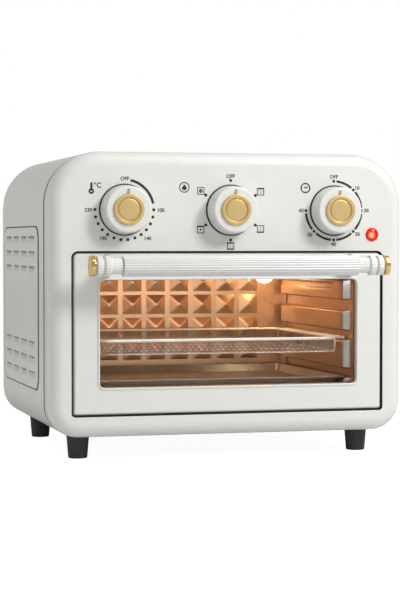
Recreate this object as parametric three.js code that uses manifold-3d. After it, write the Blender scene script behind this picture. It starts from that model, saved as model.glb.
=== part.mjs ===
// Countertop convection oven, built as an assembly of separate pieces.
//
// Lengths are in millimetres. X runs to the right seen from the front, Y runs into the
// oven and Z runs up. The pieces are drawn with Y = 0 on the front face of the bezel and
// Z = 0 on the worktop; the group at the end moves the origin to the middle of the base.

import * as THREE from 'three';
import { mergeVertices } from 'three/addons/utils/BufferGeometryUtils.js';
import Module from 'manifold-3d';

const wasm = await Module();
wasm.setup();

// Driving sizes of the cabinet

const bodyWidth = 380;
const bodyHeight = 292.5;
const bodyDepth = 300;
const standHeight = 24.5;
const topCornerRadius = 54;
const bottomCornerRadius = 31;
const bezelDepth = 31.5;
const bezelWall = 2.2;
const bezelNoseRadius = 14;
const wrapInset = 0.2;
const wrapGap = 1;
const sheet = 1;
const seat = 0.3;
const overrun = 2;

// Driving sizes of the door and its opening

const openingSideMargin = 22.2;
const openingBottom = 46;
const openingTop = 215.15;
const openingTopRadius = 7;
const openingBottomRadius = 4;
const jambWall = 2;
const jambDepth = 20;
const doorGap = 2;
const doorWall = 2.2;
const doorShellDepth = 15;
const doorEdgeRadius = 4.5;
const doorEdgeInShare = 0.6;
const windowSideMargin = 29.4;
const windowTopMargin = 29.55;
const windowRadius = 5;
const windowLipWidth = 3;
const windowLipRise = 1.2;
const windowLipCrestShare = 0.6;
const glassThickness = 4;
const glassMargin = 7.6;
const glassFront = 6.2;
const linerBottomOverHinge = 0.8;
const linerRidgeOut = 4.4;
const linerRidgeWidth = 3;

// Driving sizes of the hinge

const hingeAxisIn = 6.5;
const hingeAxisHeight = 54.2;
const pinRadius = 2.2;
const runningGap = 0.3;
const bracketThickness = 2;
const bracketHeight = 30;
const bracketShares = { below: 0.35, above: 0.65, footFrom: 0.3, footTo: 0.6 };
const pinInset = 10;
const stayRadius = 50;
const stayWidth = 7;
const stayThickness = 2;
const staySideMargin = 11.8;
const stayHookLength = 7;
const staySlotGap = 1.2;
const stayStartTurn = -8;
const stayEndTurn = 82;
const springWire = 1;
const springTurns = 3;
const springLength = 6.8;

// Driving sizes of the handle

const handleOut = 41.1;
const handleDrop = 12.65;
const handleRadius = 10.5;
const handleEndMargin = 9.6;
const fluteCount = 24;
const fluteDepth = 0.9;
const capLength = 6.3;
const capEdge = 1.6;
const collarALength = 5.6;
const collarBLength = 6.8;
const collarGrooveLength = 2.4;
const grooveDepth = 2;
const neckLength = 8.8;
const neckRadius = 8;
const neckBlend = 1;
const flareLength = 2.8;
const flareRadius = 11.4;
const postWidth = 8;
const postHeight = 12;
const postRootWidth = 13;
const postRootHeight = 24;
const postMiddleWidth = 10.5;
const postMiddleHeight = 16.4;
const postMiddleOut = 14.4;

// Driving sizes of the dials

const dialSideMargin = 77.3;
const dialRise = 42.25;
const knobBaseRadius = 25.3;
const knobFrontRadius = 24.2;
const knobGap = 1.3;
const knobShoulderOut = 16.5;
const knobFaceOut = 21.2;
const knobWall = 2.4;
const knobHubRadius = 6;
const knobEdgeRadius = 2;
const capRadius = 15.7;
const capDishRadius = 11.6;
const capFaceOut = 23.6;
const capDishDepth = 1;
const pointerReach = 5.6;
const pointerRootWidth = 2.9;
const pointerTipWidth = 1.8;
const spindleRadius = 3;
const spindleHoleGap = 1;
const spindleFlatDepth = 1;
const spindleEngagement = 3.1;
const controlPlateIn = 8;
const thermostatDepth = 11;
const thermostatShares = { half: 0.7, corner: 0.25, capsule: 0.8, capsuleDepth: 0.6 };
const switchDepth = 8.8;
const switchTerminals = 6;
const switchShares = { radius: 0.75, wafer: 0.9, waferDepth: 0.5, terminalReach: 0.9, terminalPlace: 0.7 };
const timerDepth = 19.8;
const timerShares = {
  half: 0.85, corner: 0.2, neck: 0.25, rim: 0.9, crown: 0.75, rimDepth: 0.33, depth: 0.42,
};
const indicatorSideMargin = 34.6;
const indicatorDrop = 25.1;
const indicatorRadius = 6.6;
const indicatorRise = 2.6;
const indicatorRim = 1;

// Driving sizes of the cooking chamber

const chamberSideMargin = 24.8;
const chamberFloor = 54;
const chamberCeiling = 200;
const chamberRearMargin = 29;
const chamberFrameThickness = 1.2;
const bulgeDepth = 7.5;
const bulgeBevel = 2;
const bulgeEndBevel = 7;
const bulgeEndMargin = 9;
const trayLedge = 79;
const basketLedge = 119.6;
const spareLedge = 151.6;
const trayChannel = 8.5;
const basketChannel = 9;
const spareChannel = 9.9;
const bulgeTop = 185.2;
const beadFront = 66;
const beadRearMargin = 13;
const beadWidth = 7;
const beadMiddle = 177;
const beadDepth = 1.6;
const bulgeBottom = 66;
const pyramidPitchAcross = 28.3;
const pyramidPitchUp = 26.7;
const pyramidBase = 22.6;
const pyramidRise = 4.5;
const pyramidColumns = 8;
const pyramidRows = 4;
const pyramidFirstHeight = 97.5;

// Driving sizes of the heaters, the fan and the lamp

const heaterRadius = 3.4;
const heaterHoleGap = 0.4;
const insulatorRadius = 6;
const insulatorLength = 9;
const terminalRadius = 1.6;
const terminalLength = 7;
const upperHeaterDrop = 9;
const lowerHeaterRise = 7;
const heaterFrontIn = 78;
const heaterRearMargin = 66;
const fanIn = 150;
const fanOpeningRadius = 58;
const fanRadius = 50;
const fanHubRadius = 11;
const fanDiscShare = 0.8;
const fanBladeCount = 10;
const fanBladeHeight = 11;
const fanBladeThickness = 1.2;
const fanBladeTilt = 28;
const fanLift = 4;
const shaftRadius = 2.5;
const shaftReach = 10;
const grilleMargin = 7;
const grilleThickness = 1;
const grilleSlotWidth = 8;
const grilleRings = 2;
const grilleSlotsPerRing = 8;
const grilleOpenShare = 0.75;
const shroudRadius = 64;
const shroudHeight = 24;
const shroudFlange = 10;
const motorRadius = 27;
const motorHeight = 30;
const motorNeckRadius = 9;
const motorNeckHeight = 5;
const lampSideMargin = 33;
const lampRearMargin = 31;
const lampRadius = 17;
const lampDrop = 24;
const lampFlange = 4;
const lampWall = 2;
const lampHolderRadius = 14;
const lampHolderHeight = 22;
const bulbRadius = 6;
const bulbNoseShares = [0.7, 0.3];
const bulbDrop = 13;

// Driving sizes of the basket and the tray

const rackFront = 32;
const rackRearMargin = 9;
const rackGap = 2.2;
const rimWireRadius = 1.6;
const rimCornerRadius = 14;
const basketRunner = 8.5;
const basketDepth = 14;
const basketWallSlope = 2;
const basketLinks = 3;
const meshThickness = 1;
const meshCellAcross = 32;
const meshCellIn = 28;
const meshBarWidth = 3;
const meshMargin = 6;
const trayDepth = 10;
const trayWallSlope = 7;
const trayWall = 0.9;
const trayRimWidth = 6;
const trayLipHeight = 1.2;

// Driving sizes of the side louvres, the base, the back and the feet

const louvrePanelFront = 69;
const louvrePanelRearMargin = 16;
const louvrePanelBottom = 69;
const louvrePanelTop = 240.3;
const louvrePanelRadius = 15;
const louvrePanelRise = 1;
const louvreHeight = 6.8;
const louvreScoop = 3.4;
const louvreWallShare = 0.8;
const louvrePitch = 16;
const louvreUpperTop = 230.6;
const louvreLowerTop = 118.9;
const louvreRows = 3;
const louvreFrontMargin = 18.25;
const louvreRearMargin = 11.65;
const louvreGap = 11.7;
const louvreColumns = 4;
const basePlateLap = 3.1;
const baseFlangeLap = 20;
const baseSlotLength = 60;
const baseSlotWidth = 5;
const baseSlotPitch = 14;
const baseSlotRows = 3;
const backSlotLength = 70;
const backSlotWidth = 4;
const backSlotPitch = 12;
const backSlotRows = 5;
const backSlotHeight = 170;
const backSlotPlace = 75;
const backFlangeDepth = 12;
const footSideMargin = 37.1;
const footFrontIn = 43.6;
const footRearMargin = 36.9;
const footTopRadius = 12;
const footBottomRadius = 10;
const footEdge = 1.2;
const glandSideMargin = 70;
const glandHeight = 66;
const glandRadius = 8;
const glandBore = 3.6;
const glandLength = 6;
const glandFlange = 2.4;

// Facet counts

const roundSides = 18;
const handleSides = 15;
const mediumSides = 12;
const smallSides = 8;
const wireSides = 5;
const bodySteps = 3;
const cornerSteps = 1;
const noseSteps = 4;
const domeSteps = 3;
const edgeSteps = 4;
const springSteps = 8;

// Heights and places that follow from the driving sizes

const halfWidth = bodyWidth / 2;
const bodyBottom = standHeight;
const bodyTop = standHeight + bodyHeight;
const wrapFront = bezelDepth + wrapGap;
const backPlateIn = bodyDepth - sheet;
const openingHalfWidth = halfWidth - openingSideMargin;
const chamberHalfWidth = openingHalfWidth - chamberSideMargin;
const windowHalfWidth = openingHalfWidth - windowSideMargin;
const windowBottom = openingBottom + windowSideMargin;
const windowTop = openingTop - windowTopMargin;
const dialHeight = openingTop + dialRise;
const indicatorHeight = dialHeight - indicatorDrop;
const chamberBack = bodyDepth - chamberRearMargin;
const beadRear = chamberBack - beadRearMargin;
const heaterRearIn = chamberBack - heaterRearMargin;
const lampIn = chamberBack - lampRearMargin;
const rackRear = chamberBack - rackRearMargin;
const footRearIn = bodyDepth - footRearMargin;
const louvrePanelRear = bodyDepth - louvrePanelRearMargin;
const louvreSpan = louvrePanelRear - louvreRearMargin - louvrePanelFront - louvreFrontMargin;
const louvreColumnPitch = (louvreSpan + louvreGap) / louvreColumns;
const louvreLength = louvreColumnPitch - louvreGap;
const louvreFirstIn = louvrePanelFront + louvreFrontMargin + louvreLength / 2;
const stayPlace = openingHalfWidth - staySideMargin;
const handleHalfLength = openingHalfWidth - handleEndMargin;
const dialSpacing = halfWidth - dialSideMargin;
const indicatorPlace = halfWidth - indicatorSideMargin;
const lampPlaceAcross = chamberHalfWidth - lampSideMargin;
const glandPlace = halfWidth - glandSideMargin;
const footPlace = halfWidth - footSideMargin;
const basePlateHalfWidth = footPlace + basePlateLap;
const wrapFlangeInner = basePlateHalfWidth - baseFlangeLap;
const upperHeaterHeight = chamberCeiling - upperHeaterDrop;
const lowerHeaterHeight = chamberFloor + lowerHeaterRise;
const doorHalfWidth = openingHalfWidth - doorGap;
const doorBottom = openingBottom + doorGap;
const doorTop = openingTop - doorGap;
const handleHeight = doorTop - handleDrop;
const chamberFrameIn = jambDepth + seat;
const chamberFront = chamberFrameIn + chamberFrameThickness + seat;
const linerBack = chamberFrameIn - seat - seat;
const linerPlateIn = doorShellDepth + seat;
const linerBottom = hingeAxisHeight + linerBottomOverHinge;
const glassRear = glassFront + glassThickness;
const tubeHalfLength = handleHalfLength - capLength - collarALength - collarBLength
  - 2 * collarGrooveLength - neckLength - flareLength;
const neckMiddle = tubeHalfLength + flareLength + neckLength / 2;

// Materials

const colours = {
  ivory: { color: 0xe6e6e2, roughness: 0.35, metalness: 0 },
  gold: { color: 0xd1b278, roughness: 0.35, metalness: 0.9 },
  steel: { color: 0xb9bbbd, roughness: 0.4, metalness: 0.9 },
  zinc: { color: 0x9a9fa3, roughness: 0.55, metalness: 0.8 },
  glass: { color: 0x9c7a5a, roughness: 0.05, metalness: 0 },
  heater: { color: 0x6b4a3a, roughness: 0.6, metalness: 0.6 },
  charcoal: { color: 0x3e3e3a, roughness: 0.7, metalness: 0 },
  black: { color: 0x1b1b1c, roughness: 0.6, metalness: 0 },
  red: { color: 0xd02018, roughness: 0.15, metalness: 0 },
  enamel: { color: 0x85878a, roughness: 0.35, metalness: 0.5 },
};

const oven = new THREE.Group();

/** Adds one named piece to the oven, or to the group given. */
function addPiece(name, geometry, finish, parent = oven) {
  const mesh = new THREE.Mesh(geometry, new THREE.MeshStandardMaterial(colours[finish]));
  mesh.name = name;
  parent.add(mesh);
  return mesh;
}

// Solids: every boolean join and cut goes through these functions

/** Turns a closed geometry into a manifold solid. */
function solid(geometry) {
  const bare = geometry.clone();
  bare.deleteAttribute('normal');
  bare.deleteAttribute('uv');
  const merged = mergeVertices(bare, 1e-4);
  const triVerts = merged.index
    ? new Uint32Array(merged.index.array)
    : Uint32Array.from({ length: merged.attributes.position.count }, (_, index) => index);
  const vertProperties = new Float32Array(merged.attributes.position.array);
  return new wasm.Manifold(new wasm.Mesh({ numProp: 3, vertProperties, triVerts }));
}

/** Turns a manifold solid back into a geometry. */
function geometryOf(body) {
  const mesh = body.getMesh();
  const geometry = new THREE.BufferGeometry();
  const places = new Float32Array(mesh.numVert * 3);
  for (let vertex = 0; vertex < mesh.numVert; vertex += 1) {
    for (let axis = 0; axis < 3; axis += 1) {
      places[vertex * 3 + axis] = mesh.vertProperties[vertex * mesh.numProp + axis];
    }
  }
  geometry.setAttribute('position', new THREE.BufferAttribute(places, 3));
  geometry.setIndex(new THREE.BufferAttribute(new Uint32Array(mesh.triVerts), 1));
  geometry.computeVertexNormals();
  return geometry;
}

/** Joins geometries into one solid. */
function join(...geometries) {
  return geometries.map(solid).reduce((whole, next) => whole.add(next));
}

/** Cuts every geometry of a list out of a solid. */
function cut(body, ...geometries) {
  return geometries.map(solid).reduce((whole, next) => whole.subtract(next), body);
}

// Forms that the pieces are made of

/** Outline of a rectangle with its own corner radius at the top and at the bottom. */
function roundedShape(left, right, bottom, top, topRadius, bottomRadius = topRadius) {
  const shape = new THREE.Shape();
  shape.moveTo(left + bottomRadius, bottom);
  shape.lineTo(right - bottomRadius, bottom);
  shape.absarc(right - bottomRadius, bottom + bottomRadius, bottomRadius, -Math.PI / 2, 0);
  shape.lineTo(right, top - topRadius);
  shape.absarc(right - topRadius, top - topRadius, topRadius, 0, Math.PI / 2);
  shape.lineTo(left + topRadius, top);
  shape.absarc(left + topRadius, top - topRadius, topRadius, Math.PI / 2, Math.PI);
  shape.lineTo(left, bottom + bottomRadius);
  shape.absarc(left + bottomRadius, bottom + bottomRadius, bottomRadius, Math.PI, Math.PI * 1.5);
  return shape;
}

/** The cabinet's outline, drawn in from the outside by a distance. */
function bodyShape(inset) {
  return roundedShape(
    inset - halfWidth, halfWidth - inset, bodyBottom + inset, bodyTop - inset,
    topCornerRadius - inset, bottomCornerRadius - inset,
  );
}

/** The door opening's outline, widened by a distance. */
function openingShape(outset) {
  return roundedShape(
    -openingHalfWidth - outset, openingHalfWidth + outset,
    openingBottom - outset, openingTop + outset,
    openingTopRadius + outset, openingBottomRadius + outset,
  );
}

/** The door's outline, drawn in by a distance. */
function doorShape(inset) {
  return roundedShape(
    inset - doorHalfWidth, doorHalfWidth - inset, doorBottom + inset, doorTop - inset,
    Math.max(openingTopRadius - doorGap - inset, seat),
    Math.max(openingBottomRadius - doorGap - inset, seat),
  );
}

/** The window's outline, widened by a distance. */
function windowShape(outset) {
  return roundedShape(
    -windowHalfWidth - outset, windowHalfWidth + outset,
    windowBottom - outset, windowTop + outset, windowRadius + outset,
  );
}

/** A faceted circle as a shape. */
function discShape(radius, across = 0, up = 0, sides = roundSides) {
  const points = [];
  for (let side = 0; side < sides; side += 1) {
    const turn = (side / sides) * Math.PI * 2;
    points.push(new THREE.Vector2(across + radius * Math.cos(turn), up + radius * Math.sin(turn)));
  }
  return new THREE.Shape(points);
}

/** Extrudes an outline drawn across and up, from one place along Y to another. */
function facing(shape, front, rear, steps = cornerSteps) {
  const geometry = new THREE.ExtrudeGeometry(shape, {
    depth: rear - front, bevelEnabled: false, curveSegments: steps,
  });
  geometry.rotateX(Math.PI / 2);
  geometry.translate(0, rear, 0);
  return geometry;
}

/** Extrudes an outline drawn across and inwards, from one height to another. */
function lying(shape, bottom, top, steps = cornerSteps) {
  const geometry = new THREE.ExtrudeGeometry(shape, {
    depth: top - bottom, bevelEnabled: false, curveSegments: steps,
  });
  geometry.translate(0, 0, bottom);
  return geometry;
}

/** Extrudes an outline drawn inwards and up, from one place along X to another. */
function sideways(shape, left, right, steps = cornerSteps) {
  const geometry = new THREE.ExtrudeGeometry(shape, {
    depth: right - left, bevelEnabled: false, curveSegments: steps,
  });
  geometry.rotateX(Math.PI / 2);
  geometry.rotateZ(Math.PI / 2);
  geometry.translate(left, 0, 0);
  return geometry;
}

/** A box given by its two corners. */
function block(left, right, front, rear, bottom, top) {
  const geometry = new THREE.BoxGeometry(right - left, rear - front, top - bottom);
  geometry.translate((left + right) / 2, (front + rear) / 2, (bottom + top) / 2);
  return geometry;
}

/** Revolves [radius, height] pairs about Z, whichever way round they are listed. */
function turnedUp(profile, sides = roundSides) {
  const points = profile.map(([radius, height]) => new THREE.Vector2(radius, height));
  if (THREE.ShapeUtils.isClockWise(points)) {
    points.reverse();
  }
  const geometry = new THREE.LatheGeometry(points, sides);
  geometry.rotateX(Math.PI / 2);
  return geometry;
}

/** Revolves [radius, place] pairs about an axis along Y, at a place across and up. */
function turnedIn(profile, across, up, sides = roundSides) {
  const geometry = turnedUp(profile, sides);
  geometry.rotateX(-Math.PI / 2);
  geometry.translate(across, 0, up);
  return geometry;
}

/** Revolves [radius, place] pairs about an axis along X, at a place inwards and up. */
function turnedAcross(profile, inwards, up, sides = roundSides) {
  const geometry = turnedUp(profile, sides);
  geometry.rotateY(Math.PI / 2);
  geometry.translate(0, inwards, up);
  return geometry;
}

/** A round rod or cutter along Y. */
function rodIn(radius, across, up, front, rear, sides = smallSides) {
  return turnedIn([[0, front], [radius, front], [radius, rear], [0, rear]], across, up, sides);
}

/** A round rod or cutter along X. */
function rodAcross(radius, inwards, up, left, right, sides = smallSides) {
  return turnedAcross([[0, left], [radius, left], [radius, right], [0, right]], inwards, up, sides);
}

/** Radius for a faceted hole that clears a round rod of the radius given. */
function clearOf(radius, gap, sides = smallSides) {
  return (radius + gap) / Math.cos(Math.PI / sides);
}

/** Skins a list of rings, each with as many points, and closes both ends. */
function loft(rings) {
  const count = rings[0].length;
  const places = rings.flat().flatMap((point) => [point.x, point.y, point.z]);
  const faces = [];
  for (let ring = 0; ring + 1 < rings.length; ring += 1) {
    for (let index = 0; index < count; index += 1) {
      const next = (index + 1) % count;
      const near = ring * count;
      const far = near + count;
      faces.push(near + index, near + next, far + next);
      faces.push(near + index, far + next, far + index);
    }
  }
  const last = (rings.length - 1) * count;
  for (let index = 1; index + 1 < count; index += 1) {
    faces.push(0, index + 1, index);
    faces.push(last, last + index, last + index + 1);
  }
  return facedOutwards(places, faces);
}

/** A closed geometry from places and faces, with its faces turned to point outwards. */
function facedOutwards(places, faces) {
  const corner = (index) => new THREE.Vector3().fromArray(places, faces[index] * 3);
  let volume = 0;
  for (let face = 0; face < faces.length; face += 3) {
    volume += corner(face).dot(corner(face + 1).cross(corner(face + 2)));
  }
  if (volume < 0) {
    faces.reverse();
  }
  const geometry = new THREE.BufferGeometry();
  geometry.setAttribute('position', new THREE.Float32BufferAttribute(places, 3));
  geometry.setIndex(faces);
  return geometry;
}

/** A ring of an outline drawn across and up, standing at a place along Y. */
function standingRing(shape, place, steps = cornerSteps) {
  return outlinePoints(shape, steps).map((point) => new THREE.Vector3(point.x, place, point.y));
}

/** A ring of an outline drawn across and inwards, lying at a height. */
function lyingRing(shape, height, steps = cornerSteps) {
  return outlinePoints(shape, steps).map((point) => new THREE.Vector3(point.x, point.y, height));
}

/** The points of an outline, without those that repeat the one before them. */
function outlinePoints(shape, steps) {
  const points = shape.getPoints(steps);
  return points.filter((point, index) => {
    const before = points[(index + points.length - 1) % points.length];
    return point.distanceTo(before) > seat / 100;
  });
}

/** A wire of round section round a closed list of points. */
function wireLoop(points, radius, sides = wireSides) {
  const count = points.length;
  const places = [];
  const faces = [];
  points.forEach((point, index) => {
    const before = points[(index + count - 1) % count];
    const after = points[(index + 1) % count];
    const along = new THREE.Vector3().subVectors(after, before).normalize();
    const outwards = new THREE.Vector3(along.y, -along.x, 0).normalize();
    for (let side = 0; side < sides; side += 1) {
      const turn = (side / sides) * Math.PI * 2;
      places.push(
        point.x + outwards.x * Math.cos(turn) * radius,
        point.y + outwards.y * Math.cos(turn) * radius,
        point.z + Math.sin(turn) * radius,
      );
      const here = index * sides + side;
      const beside = index * sides + ((side + 1) % sides);
      const there = ((index + 1) % count) * sides + side;
      const thereBeside = ((index + 1) % count) * sides + ((side + 1) % sides);
      faces.push(here, there, thereBeside, here, thereBeside, beside);
    }
  });
  return facedOutwards(places, faces);
}

// Cabinet shells

/** Front bezel: a moulded shell with a rounded nose, the door's jamb and the dial holes. */
function makeBezel() {
  const skin = (inset, start, end) => {
    const rings = [];
    for (let step = 0; step <= noseSteps; step += 1) {
      const turn = (step / noseSteps) * (Math.PI / 2);
      const radius = bezelNoseRadius - inset;
      const drawnIn = inset + radius * (1 - Math.sin(turn));
      rings.push(standingRing(bodyShape(drawnIn), start + radius * (1 - Math.cos(turn)), bodySteps));
    }
    rings.push(standingRing(bodyShape(inset), end, bodySteps));
    return loft(rings);
  };
  let body = cut(solid(skin(0, 0, bezelDepth)), skin(bezelWall, bezelWall, bezelDepth + overrun));
  body = body.add(solid(facing(openingShape(jambWall), bezelWall / 2, jambDepth)));
  body = cut(body, facing(openingShape(0), -overrun, jambDepth + overrun));
  const holeRadius = clearOf(spindleRadius, spindleHoleGap);
  for (const place of [-dialSpacing, 0, dialSpacing]) {
    body = cut(body, rodIn(holeRadius, place, dialHeight, -overrun, bezelWall + overrun));
  }
  body = cut(body, rodIn(
    clearOf(indicatorRadius - indicatorRim, seat), indicatorPlace, indicatorHeight,
    -overrun, bezelWall + overrun,
  ));
  for (const side of [-1, 1]) {
    const wall = side * (openingHalfWidth + jambWall / 2);
    body = cut(body, rodAcross(
      clearOf(pinRadius, runningGap), hingeAxisIn, hingeAxisHeight,
      wall - jambWall, wall + jambWall,
    ));
  }
  return geometryOf(body);
}

/** One louvre: the wedge pressed inwards, and the slot that it opens, on the right side. */
function louvreForms(inwards, top, face) {
  const front = inwards - louvreLength / 2;
  const rear = inwards + louvreLength / 2;
  const wedge = (grow, lift) => {
    const shape = new THREE.Shape();
    shape.moveTo(face + grow, top - louvreHeight - grow);
    shape.lineTo(face + grow, top + lift);
    shape.lineTo(face - louvreScoop - grow, top + lift);
    const geometry = new THREE.ExtrudeGeometry(shape, {
      depth: rear - front + 2 * grow, bevelEnabled: false,
    });
    geometry.rotateX(Math.PI / 2);
    geometry.translate(0, rear + grow, 0);
    return geometry;
  };
  return { pressed: wedge(sheet * louvreWallShare, 0), opening: wedge(0, sheet / 2) };
}

/** The middle and the top of every louvre of one side. */
function louvrePlaces() {
  const places = [];
  for (const first of [louvreUpperTop, louvreLowerTop]) {
    for (let row = 0; row < louvreRows; row += 1) {
      for (let column = 0; column < louvreColumns; column += 1) {
        places.push([louvreFirstIn + column * louvreColumnPitch, first - row * louvrePitch]);
      }
    }
  }
  return places;
}

/** Outer wrap: top and sides in one bent sheet, with a raised and louvred field each side. */
function makeWrap() {
  const rear = backPlateIn - seat;
  let body = cut(
    solid(facing(bodyShape(wrapInset), wrapFront, rear, bodySteps)),
    facing(bodyShape(wrapInset + sheet), wrapFront - overrun, rear + overrun, bodySteps),
    block(
      -wrapFlangeInner, wrapFlangeInner, wrapFront - overrun, rear + overrun,
      bodyBottom, bodyBottom + wrapInset + sheet + overrun,
    ),
  );
  const face = halfWidth - wrapInset;
  const floor = face + louvrePanelRise - sheet;
  const field = (outset) => roundedShape(
    louvrePanelFront - outset, louvrePanelRear + outset,
    louvrePanelBottom - outset, louvrePanelTop + outset, louvrePanelRadius + outset,
  );
  const raised = sideways(field(0), face - sheet / 2, floor + sheet, bodySteps);
  const hollow = sideways(field(-sheet), face - sheet - overrun, floor, bodySteps);
  for (const side of [-1, 1]) {
    const handed = (geometry) => {
      const form = solid(geometry);
      return side < 0 ? form.mirror([1, 0, 0]) : form;
    };
    body = body.add(handed(raised)).subtract(handed(hollow));
    for (const [inwards, top] of louvrePlaces()) {
      body = body.add(handed(louvreForms(inwards, top, floor + sheet / 2).pressed));
    }
    for (const [inwards, top] of louvrePlaces()) {
      body = body.subtract(handed(louvreForms(inwards, top, floor + sheet + overrun / 10).opening));
    }
  }
  return geometryOf(body);
}

/** A slot with narrowed ends, drawn across. */
function slotShape(across, up, length, width) {
  const end = length / 2;
  const straight = end - width / 2;
  return new THREE.Shape([
    new THREE.Vector2(across - end, up),
    new THREE.Vector2(across - straight, up - width / 2),
    new THREE.Vector2(across + straight, up - width / 2),
    new THREE.Vector2(across + end, up),
    new THREE.Vector2(across + straight, up + width / 2),
    new THREE.Vector2(across - straight, up + width / 2),
  ]);
}

/** Back panel: a tray that closes the wrap, with two fields of vent slots. */
function makeBackPanel() {
  const flangeInset = wrapInset + sheet + seat;
  const flangeFront = backPlateIn - backFlangeDepth;
  let body = join(
    facing(bodyShape(wrapInset), backPlateIn, bodyDepth, bodySteps),
    facing(bodyShape(flangeInset), flangeFront, backPlateIn + sheet / 2, bodySteps),
  );
  body = cut(
    body,
    facing(bodyShape(flangeInset + sheet), flangeFront - overrun, backPlateIn, bodySteps),
    rodIn(glandBodyRadius() + seat, glandPlace, glandHeight, backPlateIn - overrun, bodyDepth + overrun),
  );
  for (const side of [-1, 1]) {
    for (let row = 0; row < backSlotRows; row += 1) {
      const up = backSlotHeight + row * backSlotPitch;
      const slot = slotShape(side * backSlotPlace, up, backSlotLength, backSlotWidth);
      body = cut(body, facing(slot, backPlateIn - sheet, bodyDepth + overrun));
    }
  }
  return geometryOf(body);
}

/** Radius of the gland's part that passes through the back panel. */
function glandBodyRadius() {
  return glandRadius - glandFlange / 2;
}

/** Cord gland: a flanged bush in the back panel, with the bore for a cord. */
function makeGland() {
  const neck = glandBodyRadius();
  return turnedIn([
    [glandBore, backPlateIn - glandLength],
    [neck, backPlateIn - glandLength],
    [neck, bodyDepth + seat],
    [glandRadius, bodyDepth + seat],
    [glandRadius, bodyDepth + seat + glandFlange],
    [neck, bodyDepth + glandLength],
    [glandBore, bodyDepth + glandLength],
    [glandBore, backPlateIn - glandLength],
  ], glandPlace, glandHeight, smallSides);
}

/** Base plate: a flat pan with rows of air slots, lying on the wrap's turned-in flanges. */
function makeBasePlate() {
  const bottom = basePlateBottom();
  const front = bezelDepth + seat;
  const rear = backPlateIn - backFlangeDepth - seat;
  const plate = roundedShape(-basePlateHalfWidth, basePlateHalfWidth, front, rear, footTopRadius);
  const middle = (front + rear) / 2;
  const columnPitch = baseSlotLength + baseSlotPitch;
  for (const column of [-1, 0, 1]) {
    for (let row = 0; row < baseSlotRows; row += 1) {
      const inwards = middle + (row - (baseSlotRows - 1) / 2) * baseSlotPitch;
      plate.holes.push(slotShape(column * columnPitch, inwards, baseSlotLength, baseSlotWidth));
    }
  }
  return lying(plate, bottom, bottom + sheet);
}

/** Height of the base plate's underside. */
function basePlateBottom() {
  return bodyBottom + wrapInset + sheet + seat;
}

/** Foot: a tapered round pad under the wrap's flange. */
function makeFoot(across, inwards) {
  const top = standHeight + wrapInset - seat;
  const geometry = turnedUp([
    [0, 0],
    [footBottomRadius - footEdge, 0],
    [footBottomRadius, footEdge],
    [footTopRadius, top - footEdge],
    [footTopRadius, top],
    [0, top],
  ], mediumSides);
  geometry.translate(across, inwards, 0);
  return geometry;
}

// Cooking chamber

/** Chamber front frame: the plate behind the jamb that the chamber's walls meet. */
function makeChamberFrame() {
  const shape = roundedShape(
    -openingHalfWidth - jambWall, openingHalfWidth + jambWall,
    openingBottom - jambWall, openingTop + jambWall,
    openingTopRadius + jambWall, openingBottomRadius + jambWall,
  );
  shape.holes.push(roundedShape(
    -chamberHalfWidth, chamberHalfWidth, chamberFloor, chamberCeiling, windowRadius,
  ));
  let body = solid(facing(shape, chamberFrameIn, chamberFrameIn + chamberFrameThickness));
  for (const side of [-1, 1]) {
    body = cut(body, staySlot(side, chamberFrameIn, chamberFrameIn + chamberFrameThickness));
  }
  return geometryOf(body);
}

/** The cutter for the slot that a stay runs through, from one place along Y to another. */
function staySlot(side, front, rear) {
  const reach = (radius, place) => Math.sqrt(radius ** 2 - (place - hingeAxisIn) ** 2);
  const inner = stayRadius - stayWidth / 2 - staySlotGap;
  const outer = stayRadius + stayWidth / 2 + staySlotGap;
  const low = hingeAxisHeight + reach(inner, rear);
  const high = hingeAxisHeight + reach(outer, front);
  const half = stayThickness / 2 + staySlotGap;
  return block(
    side * stayPlace - half, side * stayPlace + half, front - overrun, rear + overrun, low, high,
  );
}

/** A pressed bulge that stands in from the right wall, with a level upper edge as a ledge. */
function bulge(bottom, top, offset) {
  const ring = (across, bevelShare) => {
    const up = bulgeBevel * bevelShare;
    const along = bulgeEndBevel * bevelShare;
    const front = chamberFront + bulgeEndMargin + along;
    const rear = chamberBack - bulgeEndMargin - along;
    return [
      new THREE.Vector3(across, front, bottom + up),
      new THREE.Vector3(across, rear, bottom + up),
      new THREE.Vector3(across, rear, top),
      new THREE.Vector3(across, front, top),
    ];
  };
  const wall = chamberHalfWidth + offset;
  return loft([
    ring(wall - bulgeDepth, 1),
    ring(wall, 0),
    ring(wall + sheet / 2, 0),
  ]);
}

/** A long bead along the right wall, grown all round by a reach, between two places across. */
function wallBead(reach, left, right) {
  const middle = (beadFront + beadRear) / 2;
  const length = beadRear - beadFront + 2 * reach;
  return sideways(slotShape(middle, beadMiddle, length, beadWidth + 2 * reach), left, right);
}

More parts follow.
